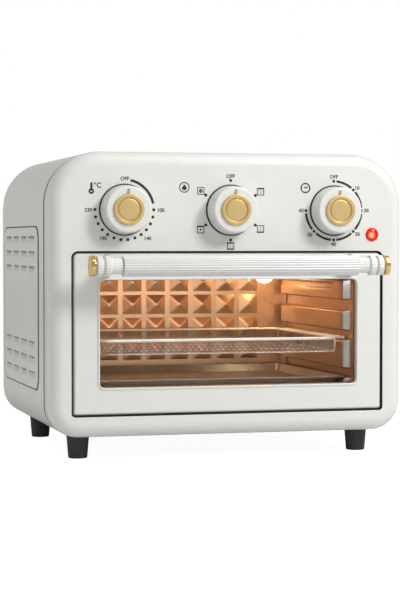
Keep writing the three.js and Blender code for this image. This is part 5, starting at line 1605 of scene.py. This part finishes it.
    def build(self) -> None:
        """Makes the print of all three dials."""
        left, middle, right = (across for *_, across in DIALS)
        self.fit("print_temperature", [
            self.dots(left, 14, 90.0, 180.0 / 13), self.arc(left, 12.0, 78.0, 2.7),
            self.text("OFF", -112.2, 289.0), *self.thermometer(-147.0, 280.3),
        ], (
            ("100", -74.6, 256.9), ("140", -88.4, 228.0), ("190", -135.0, 228.0), ("230", -150.2, 256.9),
        ))
        self.fit("print_function", [
            self.dots(middle, 6, 0.0, 60.0), self.text("OFF", middle, 292.3), *self.flame(-49.6, 280.7),
            *self.box_mark(-32.0, 277.1, "air", "fan"), *self.box_mark(32.3, 276.7, "upper"),
            *self.box_mark(32.3, 237.9, "lower"), *self.box_mark(0.0, 220.3, "upper", "lower"),
            *self.box_mark(-32.3, 237.3, "upper", "fan"),
        ])
        self.fit("print_timer", [
            self.dots(right, 7, 0.0, 45.0), self.text("OFF", right, 292.6), *self.clock(81.4, 280.9),
            *(self.arc(right, 45.0 * number + 5.5, 45.0 * number + 39.5, 2.4) for number in range(6)),
        ], (
            ("10", 138.6, 281.1), ("20", 149.0, 257.5), ("30", 139.2, 232.6), ("40", 112.7, 221.9),
            ("50", 86.4, 231.9), ("60", 76.9, 257.2),
        ))

    def fit(
        self, name: str, marks: list[Piece], numerals: Sequence[tuple[str, float, float]] = (),
    ) -> None:
        """Joins a dial's marks and numerals and fits them to the cabinet."""
        marks = [*marks, *(self.text(*numeral) for numeral in numerals)]
        self.shop.fit(joined(name, marks), Body.CABINET, INK)


@dataclass
class Indicator:
    """The red jewel over the door's right side."""

    shop: Workshop
    place: tuple[float, float] = LENS_PLACE

    def build(self) -> None:
        """Makes the jewel: a dome on a low rim, and its stem."""
        dome = [(6.9 * sine, -0.5 - 2.4 * cosine) for cosine, sine in quarter(11)]
        profile = [*dome, (7.1, -0.45), (7.1, -0.3), (5.4, -0.3), (5.4, 4.6), (0.0, 4.6)]
        skin = turned(profile, Axis.INWARDS, *self.place, 48)
        self.shop.fit(skin.build("indicator_jewel"), Body.CABINET, JEWEL, "indicator_lens")


@dataclass
class Chamber:
    """The lit cooking chamber: embossed back wall, heaters, lamp and fan grille."""

    shop: Workshop
    half_width: float = 143.0
    back: float = 271.0
    floor: float = 54.0
    ceiling: float = 200.0
    front: float = 21.8
    sheet: float = 1.0
    columns: int = 8
    rows: int = 4
    pitch: tuple[float, float] = (28.3, 26.7)
    base: float = 22.6
    rise: float = 4.5
    first_row: float = 97.5
    heater_radius: float = 3.4
    heater_places: tuple[float, float] = (78.0, 205.0)
    heater_heights: tuple[float, float] = (61.0, 191.0)
    bulge_depth: float = 7.5
    bead: tuple[float, float, float, float, float] = (66.0, 258.0, 177.0, 3.5, 1.6)
    bands: tuple[tuple[float, float], ...] = ((66.0, 79.0), (87.5, 119.6), (128.6, 151.6), (161.5, 185.2))
    margin: float = 9.0
    foot_steps: tuple[float, ...] = (-0.6, 0.0, 0.4, 0.8, 1.2, 1.6, 2.0, 2.4, 3.2)
    brow_steps: tuple[float, ...] = (3.2, 2.6, 2.0, 1.5, 1.0, 0.6, 0.35, 0.15, 0.04, 0.0, -0.6)
    bead_steps: tuple[float, ...] = (-2.2, -1.7, -1.2, -0.7, -0.2, 0.2, 0.5)
    lamp_place: tuple[float, float] = (110.0, 240.0)

    def pyramid_unit(self) -> Piece:
        """Makes one pressed pyramid, with its edges drawn soft by the press."""
        skin = Skin()
        steps = 14
        half = self.base / 2

        def place(a: float, b: float) -> Place:
            """A place on the pyramid, from -1 to 1 across and up."""
            height = self.rise * (1 - max(abs(a), abs(b)))
            soft = self.rise * 0.965 - 0.14 * (a * a + b * b) * self.rise
            return a * half, -min(height, soft) - 0.01, b * half

        spans = [2 * step / steps - 1 for step in range(steps + 1)]
        lines = skin.grid([place(a, b) for a in spans] for b in spans)
        rim = [
            *lines[0], *(line[-1] for line in lines[1:-1]), *reversed(lines[-1]),
            *(line[0] for line in reversed(lines[1:-1])),
        ]
        low = skin.ring((skin.places[n][0], 0.3, skin.places[n][2]) for n in rim)
        skin.bridge(rim, low)
        skin.face(*low)
        return centred(skin, "pyramid_unit")

    def build_back(self) -> None:
        """Makes the back wall: a plate, and the pyramids that the grid pattern sets on it."""
        half, low, high = self.half_width + self.sheet, self.floor - self.sheet, self.ceiling + self.sheet
        sheet = plate(
            lambda grow: rounded(-half - grow, half + grow, low - grow, high + grow, 1.0, 1.0, 2),
            (), Axis.INWARDS, self.back, self.back + self.sheet, 0.2,
        ).build("back_sheet")
        unit = self.pyramid_unit()
        across, up = self.pitch
        pyramids = self.shop.lay_grid(
            "pyramids", CHAMBER, unit, (self.columns, self.rows), (across, 0.0, 0.0), (0.0, 0.0, up),
            (-(self.columns - 1) / 2 * across, self.back, self.first_row),
        )
        bpy.data.objects.remove(unit)
        self.shop.fit(joined("embossed_back", [sheet, pyramids]), Body.CABINET, CHAMBER, "chamber_back")

    def wall_depth(self, up: float, inwards: float) -> float:
        """How far the right wall stands in at a height and a place from front to back."""
        start, end = self.front + self.margin, self.back - self.margin
        along = clamped((inwards - start) / 7.0) * clamped((end - inwards) / 7.0)
        for low, high in self.bands:
            if low <= up <= high:
                upper = 1 - clamped((high - up) / 3.2)
                share = smooth((up - low) / 2.4) * math.sqrt(1 - upper * upper)
                return self.bulge_depth * share * smooth(along) - self.bead_depth(up, inwards)
        return 0.0

    def bead_depth(self, up: float, inwards: float) -> float:
        """How deep the long bead in the topmost pressing is at a place."""
        front, rear, middle, half, depth = self.bead
        beside = max(front + half - inwards, inwards - rear + half, 0.0)
        return depth * smooth((half + 0.5 - math.hypot(beside, up - middle)) / 2.2)

    def build_wall(self, side: int, word: str) -> None:
        """Makes one side wall with its pressed bands, soft at their edges.

        Args:
            side: 1 for the right wall, -1 for the left.
            word: The wall's name.
        """
        front, rear, middle, half, _ = self.bead
        heights = {self.floor - self.sheet, self.ceiling + self.sheet, middle - 1.0, middle, middle + 1.0}
        for low, high in self.bands:
            heights.update(low + step for step in self.foot_steps)
            heights.update(high - step for step in self.brow_steps)
        heights.update(middle + sign * (half + step) for sign in (-1, 1) for step in self.bead_steps)
        slope_start, slope_end = self.front + self.margin, self.back - self.margin
        places = [
            self.front, slope_start - 0.6, *(slope_start + step for step in range(8)),
            *(slope_start + 8.0 + 13.0 * step for step in range(1, 16)),
        ]
        places = [p for p in places if not front - 1.0 < p < front + half + 1.0 and p < rear - half - 1.0]
        places += [front - 0.8 + 0.4 * step for step in range(14)]
        places += [rear + 0.8 - 0.4 * step for step in range(14)]
        places = [
            *sorted(places), *(slope_end - step for step in range(7, -1, -1)), slope_end + 0.6,
            self.back - 0.3,
        ]
        skin = Skin()
        skin.grid(
            [(side * (self.half_width - self.wall_depth(up, inwards)), inwards, up) for inwards in places]
            for up in sorted(heights)
        )
        piece = skin.build(f"ribbed_wall_{word}", outwards=False)
        if sum(polygon.normal.x for polygon in piece.data.polygons) * side > 0:
            piece.data.flip_normals()
        piece = thickened(piece, self.sheet)
        # Faces that look to the front take the grey tray steel: painted reflection of the outside light on
        # the pressings' front ends.
        facing_front = -0.6
        for polygon in piece.data.polygons:
            polygon.material_index = int(polygon.normal.y < facing_front)
        self.shop.fit(piece, Body.CABINET, CHAMBER, f"chamber_wall_{word}", extra=(TRAY_STEEL,))

    def build_heaters(self) -> None:
        """Makes the four sheathed rods with their insulators and terminals."""
        half = [
            (self.heater_radius, 0.0), (self.heater_radius, 144.3), (5.6, 144.3), (6.0, 144.8),
            (6.0, 148.4), (5.2, 148.9), (5.2, 149.9), (6.0, 150.4), (6.0, 152.9), (5.6, 153.3),
            (1.6, 153.3), (1.6, 159.9), (1.3, 160.3), (0.0, 160.3),
        ]
        for up, high in zip(self.heater_heights, ("lower", "upper")):
            for inwards, word in zip(self.heater_places, ("front", "rear")):
                left = [(radius, -along) for radius, along in reversed(half[1:])]
                skin = turned([*left, *half[1:]], Axis.ACROSS, inwards, up, 28)
                piece = skin.build(f"{high}_element_{word}")
                self.shop.fit(piece, Body.CABINET, HEATER, f"{high}_heater_{word}")

    def build_lamp(self) -> None:
        """Makes the lamp's dome and its bulb in the holder."""
        top = self.ceiling - 0.3
        outside, inside = (
            [(radius * sine, top - drop * cosine) for cosine, sine in quarter(12)]
            for radius, drop in ((17.0, 24.0), (15.0, 22.0))
        )
        profile = [
            *outside[:-1], (17.0, top - 2.0), (20.6, top - 2.0), (21.0, top - 1.6), (21.0, top),
            *reversed(inside),
        ]
        dome = turned(profile, Axis.UP, *self.lamp_place, 40)
        self.shop.fit(dome.build("lamp_dome"), Body.CABINET, LAMP_GLASS, "lamp_lens")
        bulb = [
            (0.0, 187.0), (3.2, 187.6), (5.2, 189.6), (6.0, 192.4), (5.8, 195.4), (5.0, 198.0),
            (5.0, 201.3), (18.0, 201.3), (18.0, 202.3), (14.0, 202.5), (13.4, 206.0), (12.0, 223.3),
            (0.0, 223.3),
        ]
        piece = turned(eased(bulb, 0.8), Axis.UP, *self.lamp_place, 32).build("lamp_bulb_and_socket")
        bulb_top = 199.5 * METRE
        for polygon in piece.data.polygons:
            polygon.material_index = int(polygon.center.z >= bulb_top)
        self.shop.fit(piece, Body.CABINET, LAMP_GLOW, "lamp_holder", extra=(ZINC,))

    def build(self) -> None:
        """Makes the chamber and dresses the frame's nodes that stay."""
        self.build_back()
        for side, word in SIDES:
            self.build_wall(side, word)
        self.build_heaters()
        self.build_lamp()
        self.shop.dress(CHAMBER, "chamber_frame", "chamber_ceiling", "chamber_floor", "fan_grille")
        self.shop.dress(ZINC, "fan_shroud", "fan_motor", "fan_impeller")


@dataclass
class Rack:
    """What basket and tray share: their outline from above."""

    shop: Workshop
    half_width: float
    front: float = 32.0
    rear: float = 262.0
    corner: float = 14.0

    def outline(self, inset: float) -> Flat:
        """The rack's outline from above, drawn in by a distance."""
        half, radius = self.half_width - inset, max(self.corner - inset, 1.0)
        return rounded(-half, half, self.front + inset, self.rear - inset, radius, radius, 8)


@dataclass
class Basket(Rack):
    """The wire basket with its net of diamonds."""

    half_width: float = 132.3
    wire: float = 1.6
    rim_height: float = 121.5
    depth: float = 14.0
    slope: float = 2.0
    runner_half: float = 139.2
    cell: float = 5.9
    floor_cell: float = 9.6
    strand: float = 0.24
    wall_strand: float = 0.42

    def build_wires(self) -> None:
        """Makes the rim, the floor wires, the links and the side runners."""
        radius, rim = self.wire, self.rim_height
        low = rim - self.depth
        skin = wire([(a, b, rim) for a, b in self.outline(radius)], radius, 12, True)
        lower = radius + self.slope
        thin = radius * 0.22
        level = low - thin
        wire([(a, b, level) for a, b in self.outline(lower)], thin, 12, True, skin)
        middle = (self.front + self.rear) / 2
        reach = (self.rear - self.front) / 2 - self.corner
        half_low, half_rim = self.half_width - lower, self.half_width - radius
        for share in (-1, 0, 1):
            place = middle + share * reach
            cross = middle + share * reach / 2
            wire([(-half_low, cross, level), (half_low, cross, level)], thin, 12, False, skin)
            for side in (-1, 1):
                wire([
                    (side * half_low, place, low), (side * half_rim, place, rim),
                    (side * self.runner_half, place, rim),
                ], radius * 0.9, 10, False, skin)
        for side in (-1, 1):
            wire([
                (side * self.runner_half, end, rim)
                for end in (middle - reach - radius, middle + reach + radius)
            ], radius, 12, False, skin)
        self.shop.fit(skin.build("basket_wires"), Body.BASKET, WIRE, "basket_frame")

    def cross_unit(
        self, axis: Axis, cell: tuple[float, float], thick: float, flat: float, stack: int = 1,
    ) -> Piece:
        """Makes one crossing of two strands, or a short stack of them.

        Args:
            axis: The way that the net faces.
            cell: The size of a cell in the net's plane.
            thick: Half a strand's width.
            flat: A strand's thickness as a share of its width.
            stack: How many crossings stand over each other.

        Returns:
            The unit for a pattern.
        """
        skin = Skin()
        half_a, half_b = cell[0] / 2, cell[1] / 2
        for level in range(stack):
            lift = (level + 0.5) * cell[1] if stack > 1 else 0.0
            for lean in (-1, 1):
                start = Vector((-half_a, -lean * half_b + lift))
                end = Vector((half_a, lean * half_b + lift))
                side = (end - start).normalized().orthogonal() * thick
                shift = thick * 0.6 * flat * lean
                skin.loft([
                    [oriented(axis, spot.x, spot.y, depth) for spot, depth in (
                        (point + side, bulge), (point, bulge + thick * flat),
                        (point - side, bulge), (point, bulge - thick * flat),
                    )]
                    for point, bulge in ((start, 0.0), (start.lerp(end, 0.5), shift), (end, 0.0))
                ])
        return centred(skin, "strand_crossing")

    def build_net(self) -> None:
        """Makes the net: a floor by the grid pattern and a wall by the path pattern."""
        level = self.rim_height - self.depth + 0.6
        inset = 2 * self.wire + 0.3 + self.slope
        half_a = self.half_width - inset - 0.6
        half_b = (self.rear - self.front) / 2 - inset - 0.6
        columns, rows = int(2 * half_a / self.floor_cell), int(2 * half_b / self.floor_cell)
        wide, long = 2 * half_a / columns, 2 * half_b / rows
        unit = self.cross_unit(Axis.UP, (wide, long), self.strand, 0.15)
        floor = self.shop.lay_grid(
            "net_floor", WIRE, unit, (columns, rows), (wide, 0.0, 0.0), (0.0, long, 0.0),
            (-half_a + wide / 2, (self.front + self.rear) / 2 - half_b + long / 2, level),
        )
        bpy.data.objects.remove(unit)
        self.trim_corners(floor, inset)
        for polygon in floor.data.polygons:
            polygon.material_index = 1
        levels, height = 2, self.depth - 1.0
        loop = self.outline(inset - self.slope / 2)
        sides = range(len(loop))
        length = sum(math.dist(loop[i - 1], loop[i]) for i in sides)
        count = int(length / self.cell)
        unit = self.cross_unit(
            Axis.INWARDS, (length / count, height / levels), self.wall_strand, 0.8, levels,
        )
        path = bpy.data.meshes.new("basket_path")
        path.from_pydata(
            [to_frame((a, b, level)) for a, b in loop], [(i, (i + 1) % len(loop)) for i in sides], [],
        )
        wall = self.shop.path.make("net_wall", self.shop.material(WIRE), path, unit=unit, count=count)
        bpy.data.objects.remove(unit)
        skin = wire([(a, b, level) for a, b in self.outline(inset)], 0.22, 6, True)
        wire([(a, b, level + height) for a, b in loop], 0.4, 8, True, skin)
        piece = joined("diamond_net", [floor, wall, skin.build("net_rims")])
        self.shop.fit(piece, Body.BASKET, WIRE, "basket_mesh", extra=(TRAY_STEEL,))

    def trim_corners(self, net: Piece, inset: float) -> None:
        """Takes off the crossings that would stand past the rounded corners."""
        slack = 1.5
        radius = self.corner - inset + slack
        half_a = self.half_width - inset - radius + slack
        half_b = (self.rear - self.front) / 2 - inset - radius + slack
        centre = to_frame((0.0, (self.front + self.rear) / 2, 0.0))
        with edited(net.data) as mesh:
            islands = set()
            for vertex in mesh.verts:
                a = abs(vertex.co.x - centre.x) / METRE - half_a
                b = abs(vertex.co.y - centre.y) / METRE - half_b
                if a > 0 and b > 0 and math.hypot(a, b) > radius:
                    islands.update(vertex.link_faces)
            edge = list(islands)
            while edge:
                for side in edge.pop().edges:
                    fresh = set(side.link_faces) - islands
                    islands |= fresh
                    edge.extend(fresh)
            bmesh.ops.delete(mesh, geom=list(islands), context="FACES")

    def build(self) -> None:
        """Makes the basket."""
        self.build_wires()
        self.build_net()


@dataclass
class Tray(Rack):
    """The pressed baking tray."""

    half_width: float = 140.8
    rim: float = 6.0
    slope: float = 7.0
    top: float = 80.5
    depth: float = 10.0
    wall: float = 0.9

    def build(self) -> None:
        """Makes the tray: a curled rim, sloping walls and a floor with a raised border."""
        top, floor = self.top, self.top - self.depth + self.wall
        foot = self.rim + self.slope
        upper = [
            (0.1, top - 0.9), (0.0, top - 0.5), (0.25, top - 0.12), (0.8, top), (1.6, top),
            (self.rim - 1.2, top - 0.15), (self.rim - 0.3, top - 0.6), (self.rim + 0.4, top - 1.6),
            (foot - 1.2, floor + 1.3), (foot - 0.4, floor + 0.5), (foot + 0.8, floor + 0.1),
            (foot + 4.0, floor), (foot + 7.0, floor), (foot + 8.4, floor + 0.7), (foot + 9.8, floor + 0.8),
        ]
        under = [(max(inset, 0.7), height - self.wall) for inset, height in upper]
        skin = Skin()
        sheets = []
        for profile in (upper, under):
            rings = [skin.flat(Axis.UP, self.outline(inset), height) for inset, height in profile]
            skin.strip(rings)
            skin.fill(rings[-1])
            sheets.append(rings)
        skin.bridge(sheets[0][0], sheets[1][0])
        self.shop.fit(skin.build("pressed_tray"), Body.TRAY, TRAY_STEEL, "baking_tray")


@dataclass
class Underside:
    """The feet, the cord gland, the back panel's screws and the base's screws."""

    shop: Workshop
    foot_across: float = 152.9
    foot_places: tuple[float, float] = (43.6, 263.1)
    foot_top: float = 24.4

    def build_feet(self) -> None:
        """Makes the four tapered rubber feet."""
        profile = [
            (0.0, 0.4), (5.6, 0.4), (6.0, 0.0), (8.8, 0.0), (9.8, 0.5), (10.05, 1.4), (11.7, 21.8),
            (12.0, 22.8), (12.0, 24.0), (11.6, self.foot_top), (0.0, self.foot_top),
        ]
        for inwards, word in zip(self.foot_places, ("front", "rear")):
            for side, hand in ((-1, "left"), (1, "right")):
                skin = turned(eased(profile, 0.3), Axis.UP, side * self.foot_across, inwards, 48)
                piece = skin.build(f"rubber_foot_{word}_{hand}")
                self.shop.fit(piece, Body.CABINET, RUBBER, f"foot_{word}_{hand}")

    def screw_unit(self, axis: Axis, out: float) -> Piece:
        """Makes one pan-head screw with a cross recess, about its seat."""
        profile = [(0.0, 0.5), (1.4, 0.55), (1.5, 1.15), (2.3, 1.05), (2.9, 0.6), (3.1, 0.05), (3.1, -0.3)]
        skin = turned([(r, out * along) for r, along in profile], axis, 0.0, 0.0, 20)
        for a, b in ((1.0, 0.0), (0.0, 1.0)):
            skin.loft([
                [
                    oriented(axis, x * a - y * b, x * b + y * a, out * level)
                    for x, y in ((1.5, 0.28), (-1.5, 0.28), (-1.5, -0.28), (1.5, -0.28))
                ]
                for level in (0.5, 0.95)
            ])
        return centred(skin, "screw_unit")

    def build_screws(self) -> None:
        """Makes the screws of the back panel and of the base with the point pattern."""
        back = [(x, 300.0, 60.0) for x in (-172.0, -60.0, 60.0, 172.0)]
        back += [(x, 300.0, 286.0) for x in (-172.0 * 0.86, -60.0, 60.0, 172.0 * 0.86)]
        back += [(x, 300.0, 173.0) for x in (-178.0, 178.0)]
        base = [(x, y, 24.7) for x in (-145.0, 145.0) for y in (90.0, 165.0, 225.0)]
        for name, places, axis, out in (
            ("back_screws", back, Axis.INWARDS, 1), ("base_screws", base, Axis.UP, -1),
        ):
            unit = self.screw_unit(axis, out)
            mesh = bpy.data.meshes.new(name)
            mesh.from_pydata([to_frame(place) for place in places], [], [])
            piece = self.shop.points.make(name, self.shop.material(ZINC), mesh, unit=unit)
            bpy.data.objects.remove(unit)
            self.shop.fit(piece, Body.CABINET, ZINC)

    def build_gland(self) -> None:
        """Makes the cord gland: a flanged bush with a ribbed collar."""
        profile = [
            (3.6, 293.0), (6.8, 293.0), (6.8, 300.3), (8.0, 300.3), (8.0, 301.6), (7.4, 302.5),
            (7.4, 303.0), (6.9, 303.2), (6.9, 303.8), (6.4, 304.0), (6.4, 304.9), (5.6, 306.0),
            (4.2, 306.0), (3.6, 305.5),
        ]
        skin = turned(profile, Axis.INWARDS, 120.0, 66.0, 40, closed=True)
        self.shop.fit(skin.build("cord_bush"), Body.CABINET, BLACK, "cord_gland")

    def build(self) -> None:
        """Makes these pieces and dresses the plates that stay."""
        self.build_feet()
        self.build_gland()
        self.build_screws()
        self.shop.dress(ZINC, "back_panel", "base_plate", "control_bracket", "timer")
        self.shop.dress(BLACK, "thermostat", "function_switch")


@dataclass
class Studio:
    """The camera, the lights, the world and the pale floor."""

    camera_place: Place = (-531.0, -1850.7, 225.8)
    camera_aim: Place = (0.2598, 0.9652, -0.0319)
    focal_pixels: float = 1857.51

    def hang(self, name: str, data: bpy.types.ID, place: Place, aim: Vector) -> Piece:
        """Puts a camera or a light at a place, pointed along a direction."""
        made = linked(name, data)
        made.location = to_frame(place)
        made.rotation_mode = "QUATERNION"
        made.rotation_quaternion = aim.to_track_quat("-Z", "Y")
        return made

    def build_camera(self) -> None:
        """Sets the camera at the photograph's viewing angle."""
        data = bpy.data.cameras.new("camera")
        data.sensor_width = SENSOR_WIDTH
        data.lens = self.focal_pixels / IMAGE_LONG_SIDE * SENSOR_WIDTH
        data.clip_end = 50.0
        bpy.context.scene.camera = self.hang("camera", data, self.camera_place, Vector(self.camera_aim))

    def add_light(
        self, name: str, place: Place, target: Place, size: tuple[float, float], power: float,
        colour: Colour = (1.0, 1.0, 1.0),
    ) -> Piece:
        """Adds one soft panel of light."""
        data = bpy.data.lights.new(name, "AREA")
        data.shape = "RECTANGLE"
        data.size, data.size_y = size
        data.energy = power
        data.color = colour
        return self.hang(name, data, place, to_frame(target) - to_frame(place))

    def build_lights(self) -> None:
        """Hangs the studio's panels and lights the chamber's lamp."""
        self.add_light("key", (1000.0, -1380.0, 1340.0), (0.0, 0.0, 170.0), (0.5, 0.5), 23.6)
        self.add_light("top", (600.0, -500.0, 1500.0), (0.0, 60.0, 170.0), (1.0, 0.8), 4.4)
        side = self.add_light("side", (-1700.0, 950.0, 100.0), (-190.0, 150.0, 150.0), (1.2, 0.8), 7.0)
        side.visible_glossy = False
        pane = self.add_light("pane", (0.0, 19.0, 184.0), (0.0, 60.0, 100.0), (0.27, 0.012), 0.045)
        pane.visible_camera = pane.visible_transmission = False
        warm = (1.0, 0.5, 0.22)
        self.add_light("chamber_top", (0.0, 110.0, 183.0), (0.0, 150.0, 60.0), (0.24, 0.14), 0.15, warm)
        lamp = bpy.data.lights.new("chamber_lamp", "POINT")
        lamp.energy = 0.11
        lamp.color = (1.0, 0.66, 0.34)
        lamp.shadow_soft_size = 0.012
        holder = linked("chamber_lamp", lamp)
        holder.location = to_frame((104.0, 232.0, 168.0))
        holder.visible_camera = holder.visible_transmission = holder.visible_glossy = False

    def seen(self, graph: Graph) -> Socket:
        """A mask of the rays that show the background: from the camera or through a glass."""
        rays = graph.add("ShaderNodeLightPath").outputs
        return graph.sum("MAXIMUM", rays["Is Camera Ray"], rays["Is Transmission Ray"])

    def build_world(self) -> None:
        """Fills the surroundings with an even pale light."""
        world = bpy.data.worlds.new("studio")
        world.use_nodes = True
        bpy.context.scene.world = world
        world.node_tree.nodes.clear()
        graph = Graph(world.node_tree)
        dim = graph.get("ShaderNodeBackground", {0: (1.0, 0.995, 0.985, 1.0), 1: 0.48})
        bright = graph.get("ShaderNodeBackground", {0: (1.0, 1.0, 1.0, 1.0), 1: 1.0})
        mixed = graph.get("ShaderNodeMixShader", {0: self.seen(graph), 1: dim, 2: bright})
        graph.add("ShaderNodeOutputWorld", {0: mixed})

    def build_floor(self) -> None:
        """Lays the pale floor, which keeps the object's soft shadow."""
        skin = Skin()
        half = 9000.0
        skin.face(*skin.flat(Axis.UP, [(-half, -half), (half, -half), (half, half), (-half, half)], 0.0))
        floor = skin.build("floor", outwards=False)
        material = bpy.data.materials.new("pale_floor")
        material.use_nodes = True
        material.node_tree.nodes.clear()
        graph = Graph(material.node_tree)
        seen = self.seen(graph)
        tone = graph.sum("MULTIPLY_ADD", seen, 0.15, 0.75)
        grey = graph.get("ShaderNodeCombineColor", {0: tone, 1: tone, 2: tone})
        matt = graph.get("ShaderNodeBsdfDiffuse", {0: grey})
        pale = graph.get("ShaderNodeEmission", {0: (1.0, 1.0, 1.0, 1.0), 1: 1.22})
        share = graph.sum("MULTIPLY", seen, 0.78)
        mixed = graph.get("ShaderNodeMixShader", {0: share, 1: matt, 2: pale})
        graph.add("ShaderNodeOutputMaterial", {0: mixed})
        floor.data.materials.append(material)

    def build(self) -> None:
        """Makes the whole studio."""
        self.build_camera()
        self.build_lights()
        self.build_world()
        self.build_floor()
        bpy.context.scene.view_settings.view_transform = "Standard"


def main() -> None:
    """Builds the oven round its frame."""
    logging.basicConfig(level=logging.INFO, format="%(name)s: %(message)s")
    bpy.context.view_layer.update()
    Studio().build()
    shop = Workshop()
    CabinetShell(shop).build()
    Door(shop).build()
    for dial in DIALS:
        Dial(shop, *dial).build()
    for assembly in (Print, Indicator, Chamber, Basket, Tray, Underside):
        assembly(shop).build()


if __name__ == "__main__":
    main()
